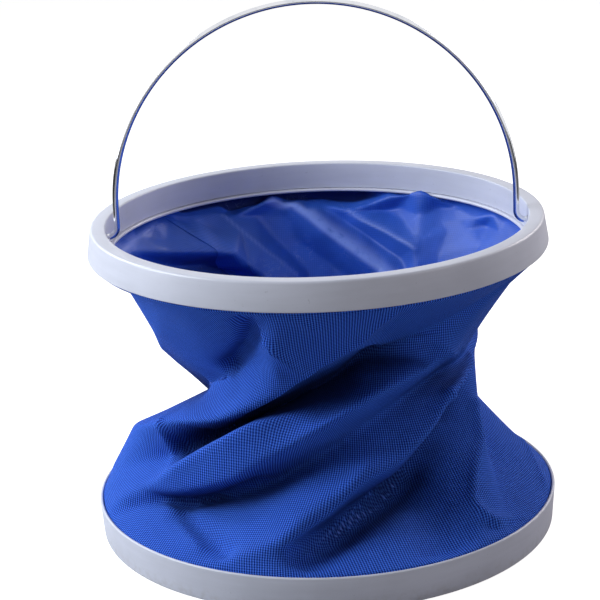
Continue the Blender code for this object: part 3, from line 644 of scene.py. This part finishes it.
# Pale wear and painted highlight of each kind of edge: how pale, and its half width in millimetres.
EDGE_WEAR_AND_HIGHLIGHT = {2: (0.5, 2.0), 3: (1.0, 4.5)}


def faceted(grid, foot, head):
    """Grid with the facets laid in, and each point's share of the pale wear and painted highlight
    on their edges.
    """
    columns, rows = grid.shape[:2]
    first, last, low, high = FACET_AREA

    def base(angle, share):
        column, row = angle / 360 * columns, foot + share * (head - foot)
        left, under = int(column), min(int(row), rows - 2)
        aside, over = column - left, row - under
        near = grid[left % columns, under:under + 2]
        next_on = grid[(left + 1) % columns, under:under + 2]
        return (near * (1 - aside) + next_on * aside).T @ np.array([1 - over, over])

    def spot(angle, height, held):
        if held:
            return angle, held[0]
        if height > UPPER_EDGE:
            return angle, round(UPPER_EDGE_SHARE + (height - UPPER_EDGE) * SHARE_PER_MILLIMETRE, 4)
        floor = base(angle, low)[2] * 1000
        lowered = (height - floor) / (UPPER_EDGE - floor)
        return angle, round(low + (UPPER_EDGE_SHARE - low) * lowered, 4)

    places, paths = {}, []
    for kind, path, *held in FACETS:
        paths.append((kind, [spot(angle, height, held) for angle, height, _ in path]))
        for name, (angle, height, radius) in zip(paths[-1][1], path):
            turn = math.radians(angle)
            places[name] = np.array([radius * math.cos(turn), radius * math.sin(turn),
                                     height]) / 1000
    for angle in np.linspace(first, last, RING_ANGLES).round(2).tolist():
        for share in (low, high):
            places[angle, share] = base(angle, share)
    for share in np.linspace(low, high, RING_SHARES).round(3).tolist():
        for angle in (first, last):
            places[angle, share] = base(angle, share)
    names = list(places)
    edges = [(names.index(one), names.index(other)) for kind, path in paths if kind
             for one, other in zip(path, path[1:])]
    flat = [Vector((angle * DEGREE, share * OPEN_LENGTH)) for angle, share in names]
    made = delaunay_2d_cdt(flat, edges, [], 0, 0.001)
    spots = np.array([tuple(point) for point in made[0]])
    values = np.array([np.mean([places[names[old]] for old in olds], axis=0) if olds
                       else base(spot[0] / DEGREE, spot[1] / OPEN_LENGTH)
                       for spot, olds in zip(spots, made[3])])
    turn = 360.0 * np.arange(columns)[:, None] / columns * DEGREE
    along = ((np.arange(rows) - foot) / (head - foot))[None, :] * OPEN_LENGTH
    turn, along = np.broadcast_arrays(turn, along)
    shift = np.zeros((columns, rows, 3))
    for corners in made[2]:
        a, b, c = spots[list(corners)]
        area = (b[0] - a[0]) * (c[1] - a[1]) - (c[0] - a[0]) * (b[1] - a[1])
        if abs(area) < 1e-6:
            continue
        second = ((turn - a[0]) * (c[1] - a[1]) - (c[0] - a[0]) * (along - a[1])) / area
        third = ((b[0] - a[0]) * (along - a[1]) - (turn - a[0]) * (b[1] - a[1])) / area
        within = (second >= -1e-6) & (third >= -1e-6) & (second + third <= 1 + 1e-6)
        share = np.stack([1 - second - third, second, third], -1)[within]
        shift[within] = share @ values[list(corners)] - grid[within]
    shift[:, :foot + 1] = shift[:, head:] = 0
    moved = grid + shift
    smooth = blurred(blurred(moved, FACET_SOFTNESS, 0), FACET_SOFTNESS, 1)
    touched = np.linalg.norm(shift, axis=2, keepdims=True) > 0
    moved = np.where(touched, smooth, grid)
    # Pale wear along the worn edges, which also serves as a painted highlight on them.
    wear = np.zeros((columns, rows))
    for kind, path in paths:
        if kind not in EDGE_WEAR_AND_HIGHLIGHT:
            continue
        wear_and_highlight, width = EDGE_WEAR_AND_HIGHLIGHT[kind]
        for one, other in zip(path, path[1:]):
            start = np.array([one[0] * DEGREE, one[1] * OPEN_LENGTH])
            run = np.array([other[0] * DEGREE, other[1] * OPEN_LENGTH]) - start
            off_x, off_y = turn - start[0], along - start[1]
            place = np.clip((off_x * run[0] + off_y * run[1]) / (run @ run), 0, 1)
            off = np.hypot(off_x - place * run[0], off_y - place * run[1])
            wear = np.maximum(wear, wear_and_highlight * np.exp(-(off / width) ** 2))
    return moved, wear


outside = creased(outside, len(lower_hem), len(lower_hem) + OPEN_ROWS)
outside, pale_wear_and_highlight = faceted(outside, len(lower_hem), len(lower_hem) + OPEN_ROWS)
wall_normals = grid_normals(outside)
CLOTH = 0.0007
inside = outside - wall_normals * CLOTH
rows_run = np.concatenate([np.zeros((COLUMNS, 1)), np.cumsum(
    np.linalg.norm(np.diff(outside, axis=1), axis=2), axis=1)], 1)
climb = (rows_run / rows_run[:, -1:]).mean(0)
# The flat pattern is worked out on every fourth row and column, and cut open at one column.
UNROLL_STEP, CUT_COLUMN = 4, 96


def unrolled(grid):
    """Flat pattern of the cloth, in metres: where each point lies once the wall is cut upright,
    opened out and smoothed with the least stretch. Its last column repeats its first one."""
    columns, rows = grid.shape[:2]
    order = (np.arange(0, columns + 1, UNROLL_STEP) + CUT_COLUMN) % columns
    picked = np.unique(np.append(np.arange(0, rows, UNROLL_STEP), rows - 1))
    coarse = grid[order][:, picked]
    wide, high = coarse.shape[:2]
    faces = [(a * high + b, (a + 1) * high + b, (a + 1) * high + b + 1, a * high + b + 1)
             for a in range(wide - 1) for b in range(high - 1)]
    mesh = bpy.data.meshes.new("pattern")
    mesh.from_pydata(coarse.reshape(-1, 3).tolist(), [], faces)
    mesh.uv_layers.new(name="flat")
    cloth = bpy.data.objects.new("pattern", mesh)
    bpy.context.collection.objects.link(cloth)
    bpy.ops.object.select_all(action="DESELECT")
    cloth.select_set(True)
    bpy.context.view_layer.objects.active = cloth
    bpy.ops.object.mode_set(mode="EDIT")
    bpy.ops.mesh.select_all(action="SELECT")
    bpy.ops.uv.unwrap(method="MINIMUM_STRETCH", iterations=10, margin=0.0)
    bpy.ops.object.mode_set(mode="OBJECT")
    corners = np.zeros(2 * len(mesh.loops))
    mesh.uv_layers["flat"].data.foreach_get("uv", corners)
    owners = np.zeros(len(mesh.loops), int)
    mesh.loops.foreach_get("vertex_index", owners)
    flat = np.zeros((wide * high, 2))
    flat[owners] = corners.reshape(-1, 2)
    flat = flat.reshape(wide, high, 2)
    bpy.data.objects.remove(cloth)
    bpy.data.meshes.remove(mesh)
    real = np.linalg.norm(np.diff(coarse, axis=0), axis=2).sum()
    flat *= real / np.linalg.norm(np.diff(flat, axis=0), axis=2).sum()
    hem = flat[-1, 0] - flat[0, 0]
    along = hem / np.linalg.norm(hem)
    flat = np.stack([flat @ along, flat @ np.array([-along[1], along[0]])], -1)
    if flat[:, -1, 1].mean() < flat[:, 0, 1].mean():
        flat[:, :, 1] *= -1
    full = np.zeros((wide, rows, 2))
    for column in range(wide):
        for axis in (0, 1):
            full[column, :, axis] = np.interp(np.arange(rows), picked, flat[column, :, axis])
    pattern = np.zeros((columns + 1, rows, 2))
    for row in range(rows):
        for axis in (0, 1):
            pattern[:, row, axis] = np.interp(np.arange(columns + 1), np.arange(wide) * UNROLL_STEP,
                                              full[:, row, axis])
    return pattern


def openness(grid, normals, side):
    """Share of the light from one side that the cloth itself doesn't keep from each point."""
    columns, rows = grid.shape[:2]
    picked = np.unique(np.append(np.arange(0, rows, 2), rows - 1))
    coarse, facing = grid[::2, picked], normals[::2, picked] * side
    wide, high = coarse.shape[:2]
    tree = BVHTree.FromPolygons(
        [Vector(point) for point in coarse.reshape(-1, 3).tolist()],
        [(a * high + b, (a + 1) % wide * high + b, (a + 1) % wide * high + b + 1, a * high + b + 1)
         for a in range(wide) for b in range(high - 1)])
    rays, reach, golden_angle, start_off = 22, 0.09, 2.39996, 0.0012
    turns = np.arange(rays) * golden_angle
    lift = np.sqrt((np.arange(rays) + 0.5) / rays)
    spread = np.sqrt(1 - lift ** 2)
    free = np.zeros((wide, high))
    for a in range(wide):
        for b in range(high):
            up = Vector(facing[a, b])
            aside = up.orthogonal().normalized()
            third = up.cross(aside)
            start = Vector(coarse[a, b]) + up * start_off
            for turn, rise, width in zip(turns, lift, spread):
                way = up * rise + (aside * math.cos(turn) + third * math.sin(turn)) * width
                if tree.ray_cast(start, way, reach)[0] is None:
                    free[a, b] += 1 / rays
    free = blurred(free[:, :, None], 0.8, 0)[:, :, 0]
    fine = np.zeros((columns, rows))
    for a in range(wide):
        fine[2 * a] = np.interp(np.arange(rows), picked, free[a])
    fine[1::2] = (fine[::2] + np.roll(fine[::2], -1, 0)) / 2
    return fine


pattern = unrolled(outside)
open_outside, open_inside = openness(outside, wall_normals, 1), openness(inside, wall_normals, -1)
# The bead shades the cloth right under it, at the back. Its shade sets in over a few rows and
# columns of the wall's grid.
SHADE_START, SHADE_RUN, SHADE_COLUMNS, SHADE_RAMP, SHADE_DEPTH = 0.944, 0.022, (60, 152), 8, 0.9
under_bead = np.clip((np.arange(outside.shape[1]) - len(lower_hem) - SHADE_START * OPEN_ROWS)
                     / (SHADE_RUN * OPEN_ROWS), 0, 1)
behind = np.clip(np.minimum(np.arange(COLUMNS) - SHADE_COLUMNS[0],
                            SHADE_COLUMNS[1] - np.arange(COLUMNS)) / SHADE_RAMP, 0, 1)
open_inside = open_inside * (1 - SHADE_DEPTH * behind[:, None] * under_bead[None, :])


def cloth_shell(name, outer, inner, *surfaces):
    """Closed sheet from two grids, with the cloth's own lengths as its UV map."""
    columns, rows = outer.shape[:2]
    count = columns * rows
    points = np.concatenate([outer.reshape(-1, 3), inner.reshape(-1, 3)])
    faces, slots = [], []
    for column in range(columns):
        after = (column + 1) % columns
        for row in range(rows - 1):
            corners = (column * rows + row, after * rows + row,
                       after * rows + row + 1, column * rows + row + 1)
            faces.append(corners)
            faces.append(tuple(count + at for at in reversed(corners)))
            slots += [0, 1]
        for row, flip in ((0, True), (rows - 1, False)):
            rim = (column * rows + row, after * rows + row,
                   count + after * rows + row, count + column * rows + row)
            faces.append(rim[::-1] if flip else rim)
            slots.append(0)
    mesh = bpy.data.meshes.new(name)
    mesh.from_pydata(points.tolist(), [], faces)
    mesh.polygons.foreach_set("material_index", slots)
    for surface in surfaces:
        mesh.materials.append(surface)
    mesh.shade_smooth()
    made = bpy.data.objects.new(name, mesh)
    bpy.context.collection.objects.link(made)
    corner_points = np.zeros(len(mesh.loops), int)
    mesh.loops.foreach_get("vertex_index", corner_points)
    flat = corner_points % count
    column, row = flat // rows, flat % rows
    loop_face = np.repeat(np.arange(len(faces)), 4)
    first = column[::4][loop_face]
    step = (column - first + columns // 2) % columns - columns // 2
    place = (first - CUT_COLUMN) % columns + step
    layer = mesh.uv_layers.new(name="weave")
    layer.data.foreach_set("uv", pattern[place, row].astype(np.float32).ravel())
    # Per point: the openness outside and inside, which the materials turn into painted shade, and
    # the edge wear with its painted highlight.
    folds = np.stack([open_outside, open_inside, pale_wear_and_highlight], -1).reshape(-1, 3)
    layer = mesh.attributes.new("folds", "FLOAT_VECTOR", "POINT")
    layer.data.foreach_set("vector", np.tile(folds, (2, 1)).astype(np.float32).ravel())
    return made


WEAVE_PITCH = 0.00155


def oxford(name):
    """Blue Oxford weave: ribs of paired yarns over and under, with slubs, rub wear, and painted
    shade that darkens the cloth where its own folds keep the light from it."""
    paint = Paint(name)
    place = paint.place()
    weave = paint.node("ShaderNodeUVMap", {"uv_map": "weave"}).outputs[0]
    across, up, _ = paint.parts(weave)
    waver = paint.noise(weave, 140.0, 2.0) - 0.5
    warp = (across + waver * 0.00030) * (1 / WEAVE_PITCH)
    weft = (up + waver * 0.00026) * (1 / WEAVE_PITCH)
    warp_rib = ((warp * math.pi).sine() ** 2.0).ramp(0.22, 0.88)
    weft_rib = ((weft * math.pi).sine() ** 2.0).ramp(0.22, 0.88)
    over = (((warp.floor() + weft.floor()) * 0.5).fraction() * 2.0).ramp(0.3, 0.7)
    height = warp_rib * (0.56 + over * 0.14) + weft_rib * (0.40 - over * 0.14)
    slub = paint.noise(paint.stretched(weave, (1500.0, 120.0, 1.0)), 1.0, 3.0)
    cloud = paint.noise(place, 26.0, 4.0)
    wear = paint.noise(place, 130.0, 5.0, 0.7).ramp(0.60, 0.80)
    deep, bright = (0.003, 0.015, 0.220), (0.072, 0.238, 1.000)
    tint = paint.mix((height * 1.15 + slub * 0.16 - 0.16).clipped(), deep, bright)
    tint = paint.mix(cloud.ramp(0.35, 0.70) * 0.14, tint, (0.022, 0.088, 0.520))
    tint = paint.mix(wear * 0.08, tint, (0.16, 0.24, 0.62))
    folds = paint.node("ShaderNodeAttribute", {"attribute_name": "folds"}).outputs["Vector"]
    clear = paint.parts(folds)[0]
    # Painted shade: the colour goes nearly black where the cloth's own folds keep light from it.
    tint = paint.mix((1.0 - clear.ramp(0.15, 0.85)) * 0.90, tint, (0.003, 0.007, 0.042))
    gloss = (slub * 0.10 + cloud * 0.08 + 0.62).clipped()
    normal = paint.bump(height, 0.00042, 1.0)
    normal = paint.bump(cloud, 0.0010, 0.35, normal)
    return paint.finish(base_color=tint, roughness=gloss, normal=normal,
                        specular_ior_level=0.06)


def coated(name, colour=(0.020, 0.100, 0.560), folded=False):
    """Smooth polyurethane coating: faint weave, sheen, and creases that have whitened."""
    paint = Paint(name)
    place = paint.place()
    weave = paint.node("ShaderNodeUVMap", {"uv_map": "weave"}).outputs[0]
    across, up, _ = paint.parts(weave)
    ribs = (across * (math.pi / WEAVE_PITCH)).sine() ** 2.0 * 0.5 \
        + (up * (math.pi / WEAVE_PITCH)).sine() ** 2.0 * 0.5
    cloud = paint.noise(place, 34.0, 4.0)
    crease = paint.noise(paint.stretched(place, (70.0, 70.0, 110.0)), 1.0, 5.0, 0.65, 1.2)
    white = ((crease - 0.5).size() * -1.0 + 0.02).ramp(0.0, 0.02) * cloud.ramp(0.50, 0.72)
    dark = tuple(part * 0.72 for part in colour)
    tint = paint.mix(cloud.ramp(0.3, 0.7), dark, colour)
    tint = paint.mix(ribs * 0.34, tint, (0.070, 0.185, 0.800))
    if folded:
        folds = paint.node("ShaderNodeAttribute", {"attribute_name": "folds"}).outputs["Vector"]
        _, clear, wear_and_highlight = paint.parts(folds)
        enclosed = 1.0 - clear.ramp(0.10, 0.60)
        # Pale wear on the fold edges, partly a painted highlight on them.
        wear_and_highlight = wear_and_highlight.ramp(0.05, 1.0) * paint.noise(place, 150.0, 2.0).ramp(0.0, 0.50)
        tint = paint.mix(wear_and_highlight * 0.72, tint, (0.24, 0.36, 0.90))
        # Painted shade: the coating is darkened where the cloth's own folds keep light from it.
        tint = paint.mix((1.0 - clear.ramp(0.14, 0.68)) * 0.92, tint, (0.003, 0.009, 0.085))
    tint = paint.mix(white * 0.35, tint, (0.30, 0.38, 0.72))
    gloss = cloud * 0.14 + ribs * 0.04 + 0.38
    gloss = (gloss + enclosed * 0.45).clipped() if folded else gloss.clipped()
    normal = paint.bump(ribs, 0.00010, 0.6)
    normal = paint.bump(crease, 0.0009, 0.4, normal)
    return paint.finish(base_color=tint, roughness=gloss, normal=normal, coat_weight=0.04,
                        coat_roughness=0.35, specular_ior_level=0.25)


wall_inside = coated("coated_inner_side", folded=True)
wall = cloth_shell("wall_cloth", outside, inside, oxford("oxford_weave"), wall_inside)
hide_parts("fabric_wall")
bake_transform(wall)


# Side seam: the cloth's two edges are lapped and sewn with two rows of blue thread, and a
# smooth tape is welded over them inside. It leans with the cloth, from the back to the left.
SEAM_ANGLE, TAPE_WIDTH, TAPE_COLUMNS = 62.0, 0.018, 8
TAPE_ENDS, CLAMP_RADIUS = (0.0245, 0.1850), 0.148
TAPE_DEPTHS = (0.00012, 0.00042)


def on_cloth(grid, row, aside):
    """Point of a grid of the cloth, aside from its seam by a distance along the cloth."""
    turn = SEAM_ANGLE + WALL_TURN * climb[row] + math.degrees(aside / CLAMP_RADIUS)
    column = turn / 360 * COLUMNS
    low = int(math.floor(column))
    share = column - low
    return grid[low % COLUMNS, row] * (1 - share) + grid[(low + 1) % COLUMNS, row] * share


def seam_tape(surface):
    """Thin closed strip on the inner side of the cloth, along its seam."""
    rows = [row for row in range(len(lower_hem), len(lower_hem) + OPEN_ROWS + 1)
            if TAPE_ENDS[0] < outside[:, row, 2].mean() < TAPE_ENDS[1]]
    asides = [TAPE_WIDTH * (step / TAPE_COLUMNS - 0.5) for step in range(TAPE_COLUMNS + 1)]
    form = bmesh.new()
    uv = form.loops.layers.uv.new("weave")
    sides = []
    for depth in TAPE_DEPTHS:
        deeper = inside - wall_normals * depth
        sides.append([[form.verts.new(on_cloth(deeper, row, aside)) for aside in asides]
                      for row in rows])
    places = {vertex: (asides[column], rows_run[0, rows[line]]) for side in sides
              for line, across in enumerate(side) for column, vertex in enumerate(across)}
    for side in sides:
        for low, high in zip(side, side[1:]):
            for column in range(TAPE_COLUMNS):
                form.faces.new((low[column], low[column + 1], high[column + 1], high[column]))
    border = ([(line, 0) for line in range(len(rows))]
              + [(len(rows) - 1, column) for column in range(1, TAPE_COLUMNS + 1)]
              + [(line, TAPE_COLUMNS) for line in range(len(rows) - 2, -1, -1)]
              + [(0, column) for column in range(TAPE_COLUMNS - 1, 0, -1)])
    for (line, column), (next_line, next_column) in zip(border, border[1:] + border[:1]):
        form.faces.new((sides[0][line][column], sides[0][next_line][next_column],
                        sides[1][next_line][next_column], sides[1][line][column]))
    bmesh.ops.recalc_face_normals(form, faces=form.faces)
    for face in form.faces:
        for loop in face.loops:
            loop[uv].uv = places[loop.vert]
    return finished("side_tape", form, surface, sharp=70)


side_tape = seam_tape(coated("seam_film", (0.022, 0.105, 0.580)))
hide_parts("side_seam_tape")
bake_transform(side_tape)


def stitch_nodes(surface):
    """Node group: a short rounded stitch at each step along the mesh's lines."""
    group = bpy.data.node_groups.new("stitch_row", "GeometryNodeTree")
    group.interface.new_socket("Lines", in_out="INPUT", socket_type="NodeSocketGeometry")
    for name, value in (("Pitch", 0.0032), ("Stitch length", 0.0024), ("Thread radius", 0.00022)):
        made = group.interface.new_socket(name, in_out="INPUT", socket_type="NodeSocketFloat")
        made.default_value = value
    group.interface.new_socket("Stitches", in_out="OUTPUT", socket_type="NodeSocketGeometry")
    nodes, links = group.nodes, group.links

    def node(kind, values):
        made = nodes.new(kind)
        for key, value in values.items():
            if isinstance(value, bpy.types.NodeSocket):
                links.new(value, made.inputs[key])
            else:
                made.inputs[key].default_value = value
        return made

    given = nodes.new("NodeGroupInput").outputs
    curve = node("GeometryNodeMeshToCurve", {"Mesh": given["Lines"]})
    points = node("GeometryNodeCurveToPoints", {"Curve": curve.outputs["Curve"]})
    points.mode = "LENGTH"
    links.new(given["Pitch"], points.inputs["Length"])
    thread_form = node("GeometryNodeMeshUVSphere", {"Segments": 8, "Rings": 6, "Radius": 1.0})
    half = node("ShaderNodeMath", {0: given["Stitch length"], 1: 0.5})
    half.operation = "MULTIPLY"
    size = node("ShaderNodeCombineXYZ", {"X": given["Thread radius"], "Y": given["Thread radius"],
                                         "Z": half.outputs[0]})
    placed = node("GeometryNodeInstanceOnPoints", {
        "Points": points.outputs["Points"], "Instance": thread_form.outputs["Mesh"],
        "Rotation": points.outputs["Rotation"], "Scale": size.outputs[0]})
    real = node("GeometryNodeRealizeInstances", {0: placed.outputs[0]})
    coat = node("GeometryNodeSetMaterial", {0: real.outputs[0], "Material": surface})
    node("NodeGroupOutput", {0: coat.outputs[0]})
    return group


def thread(name):
    """Twisted polyester thread: fine slanting plies and a little fluff."""
    paint = Paint(name)
    place = paint.place()
    plies = paint.noise(paint.stretched(place, (2600.0, 2600.0, 900.0)), 1.0, 2.0)
    fluff = paint.noise(place, 700.0, 3.0)
    tint = paint.mix(plies.ramp(0.35, 0.65), (0.012, 0.055, 0.330), (0.030, 0.130, 0.620))
    return paint.finish(base_color=tint, roughness=(fluff * 0.2 + 0.5).clipped(),
                        normal=paint.bump(plies, 0.00008, 0.8))


def stitched(name, paths, surface, lengths):
    """Stitches along polylines, made real as one mesh."""
    form = bmesh.new()
    for path in paths:
        points = [form.verts.new(point) for point in path]
        for low, high in zip(points, points[1:]):
            form.edges.new((low, high))
    made = finished(name, form, surface)
    modifier = made.modifiers.new("stitches", "NODES")
    modifier.node_group = stitch_nodes(surface)
    for item in modifier.node_group.interface.items_tree:
        if item.in_out == "INPUT" and item.name in lengths:
            modifier[item.identifier] = lengths[item.name]
    made_real(made).shade_smooth()
    return made


seam_rows = range(len(lower_hem) + 2, len(lower_hem) + OPEN_ROWS - 1)
STITCH_RISE, STITCH_ASIDE = 0.00010, 0.0035
proud = outside + wall_normals * STITCH_RISE
seam_stitches = stitched("seam_stitches", [
    [on_cloth(proud, row, aside) for row in seam_rows] for aside in (-STITCH_ASIDE, STITCH_ASIDE)
], thread("polyester_thread"), {"Pitch": 0.0032, "Stitch length": 0.0025,
                                "Thread radius": 0.00024})
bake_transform(seam_stitches)


# Floor tape: the same smooth film, welded all round over the stitches that join the floor's
# upturned edge to the wall.
floor_tape = hoop("floor_tape", [
    (0.14665, 0.0041, 0.0), (0.14758, 0.0171, 0.0), (0.14722, 0.0171, 0.0),
    (0.14629, 0.0041, 0.0),
], coated("floor_seam_film", (0.022, 0.105, 0.560)), wander=0.00003, seed=2.0)
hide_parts("floor_seam_tape")
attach(floor_tape, "base")


# Floor: a disc of the same coated cloth, its edge turned up inside the wall's lower hem. It
# rests on the band's foot at its edge and sags a little in the middle.
def floor_form():
    """Closed disc with an upturned edge, slightly slack in the middle."""
    sides, rings_in = 192, 26
    lowest, flat_radius, slack_radius, sag, cloth = 0.0026, 0.1440, 0.139, 0.0009, 0.00070
    edge = [(0.14822, 0.0133), (0.14800, 0.0098), (0.14778, 0.0062), (0.14745, 0.0036),
            (0.14650, 0.0027), (0.14500, lowest)]
    flat = [(flat_radius * (1 - step / rings_in), lowest) for step in range(rings_in)]
    form = bmesh.new()
    uv = form.loops.layers.uv.new("weave")
    layers = []
    for lift in (0.0, 1.0):
        rings = []
        for radius, height in edge + flat:
            ring = []
            for side in range(sides):
                angle = math.tau * side / sides
                slack = max(0.0, 1 - radius / slack_radius)
                ripple = 0.0006 * slack * (math.sin(2 * angle + 40 * radius)
                                           + math.sin(3 * angle - 55 * radius))
                inwards = 0.00065 * lift if height > 0.0030 else 0.0
                upwards = cloth * lift if height <= 0.0036 else 0.0
                spoke = radius - inwards
                ring.append(form.verts.new((spoke * math.cos(angle), spoke * math.sin(angle),
                                            height + upwards - sag * slack + ripple)))
            rings.append(ring)
        centre = form.verts.new((0, 0, lowest + cloth * lift - sag))
        layers.append((rings, centre))
    for (rings, centre), flip in zip(layers, (False, True)):
        for outer, inner in zip(rings, rings[1:]):
            for side in range(sides):
                other = (side + 1) % sides
                form.faces.new((outer[side], inner[side], inner[other], outer[other]))
        for side in range(sides):
            form.faces.new((rings[-1][side], centre, rings[-1][(side + 1) % sides]))
    low, high = layers[0][0][0], layers[1][0][0]
    for side in range(sides):
        other = (side + 1) % sides
        form.faces.new((low[side], low[other], high[other], high[side]))
    bmesh.ops.recalc_face_normals(form, faces=form.faces)
    for face in form.faces:
        for loop in face.loops:
            loop[uv].uv = (loop.vert.co.x, loop.vert.co.y)
    return form


floor_cloth = finished("floor_cloth", floor_form(), coated("floor_coating", (0.018, 0.090, 0.50)))
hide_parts("fabric_floor")
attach(floor_cloth, "base")


# Camera: where the photograph was taken from, fitted to the two hoops.
pitch, roll = math.radians(17.76), math.radians(-2.40)
aim, reach = Vector((-0.01304, 0, 0.15195)), 1.31816
forward = Vector((0, math.cos(pitch), -math.sin(pitch)))
level_up = Vector((0, math.sin(pitch), math.cos(pitch)))
right = Vector((1, 0, 0)) * math.cos(roll) + level_up * math.sin(roll)
upward = Vector((1, 0, 0)) * -math.sin(roll) + level_up * math.cos(roll)
camera_data = bpy.data.cameras.new("camera")
camera_data.lens, camera_data.sensor_width = 120, 36
camera = bpy.data.objects.new("camera", camera_data)
bpy.context.collection.objects.link(camera)
camera.matrix_world = Matrix.Translation(aim - forward * reach) @ Matrix(
    (right, upward, -forward)).transposed().to_4x4()
bpy.context.scene.camera = camera


# Studio: a white floor and background, a soft key light up on the left with weaker ones behind
# and below it, two more on the right, and low dark cards that only the chrome shows.
BUCKET_MIDDLE, LAMP_SIZE = Vector((0, 0, 0.12)), 0.6
cool, warm = (0.96, 1.00, 1.04), (1.06, 1.00, 1.02)
for lamp_name, lamp_place, power, colour in (
        ("key", (-1.1, -0.25, 0.85), 12.1, cool), ("left_back", (-1.0, 0.6, 0.8), 8.4, cool),
        ("left_low", (-1.2, -0.1, 0.45), 3.0, cool), ("right_back", (1.0, 0.8, 0.8), 8.2, warm),
        ("right_front", (1.1, -0.7, 0.8), 3.9, warm)):
    lamp_data = bpy.data.lights.new(lamp_name, "AREA")
    lamp_data.shape, lamp_data.size, lamp_data.energy = "SQUARE", LAMP_SIZE, power
    lamp_data.color = colour
    lamp = bpy.data.objects.new(lamp_name, lamp_data)
    bpy.context.collection.objects.link(lamp)
    lamp.location = lamp_place
    lamp.rotation_euler = (BUCKET_MIDDLE - lamp.location).to_track_quat("-Z", "Y").to_euler()

bpy.context.scene.view_settings.view_transform = "Standard"
world = bpy.data.worlds.new("studio")
bpy.context.scene.world = world
world.use_nodes = True
sky = world.node_tree
sky_light = sky.nodes["Background"]
sky_light.inputs["Color"].default_value = (1, 1, 1, 1)
light_path = sky.nodes.new("ShaderNodeLightPath")
seen = sky.nodes.new("ShaderNodeMath")
seen.operation = "MAXIMUM"
sky.links.new(light_path.outputs["Is Camera Ray"], seen.inputs[0])
mirrored = sky.nodes.new("ShaderNodeMath")
mirrored.operation = "MAXIMUM"
sky.links.new(light_path.outputs["Is Glossy Ray"], mirrored.inputs[0])
sky.links.new(light_path.outputs["Is Transmission Ray"], mirrored.inputs[1])
sky.links.new(mirrored.outputs[0], seen.inputs[1])
bright = sky.nodes.new("ShaderNodeMapRange")
bright.inputs["To Min"].default_value = 0.03
bright.inputs["To Max"].default_value = 1.0
sky.links.new(seen.outputs[0], bright.inputs["Value"])
sky.links.new(bright.outputs[0], sky_light.inputs["Strength"])


def dark_card(name, place, width, height, shade):
    """Upright card facing the bucket, which only mirrored rays see."""
    bpy.ops.mesh.primitive_plane_add(size=1.0, location=place)
    card = bpy.context.active_object
    card.name, card.scale = name, (width, height, 1.0)
    card.rotation_euler = (Vector((0, 0, 0.25)) - Vector(place)).to_track_quat("Z", "Y").to_euler()
    cover = Paint(name + "_cloth")
    card.data.materials.append(cover.finish(base_color=(shade, shade, shade), roughness=0.9))
    card.visible_camera = card.visible_diffuse = card.visible_shadow = False
    card.visible_transmission = False


dark_card("left_card", (-0.62, -0.16, 0.13), 0.75, 0.26, 0.02)
dark_card("right_card", (0.62, -0.30, 0.13), 0.40, 0.26, 0.02)

bpy.ops.mesh.primitive_plane_add(size=6.0, location=(0, 0, 0))
studio_floor = bpy.context.active_object
studio_floor.name = "studio_floor"
floor_paint = Paint("studio_floor_white")
floor_seen = floor_paint.node("ShaderNodeLightPath").outputs["Is Camera Ray"]
floor_tint = floor_paint.mix(floor_seen, (0.45, 0.45, 0.46), (0.55, 0.55, 0.55))
floor_glow = floor_paint.mix(floor_seen, (0.0, 0.0, 0.0), (0.90, 0.90, 0.90))
studio_floor.data.materials.append(floor_paint.finish(
    base_color=floor_tint, roughness=0.9, emission_color=floor_glow, emission_strength=1.0))
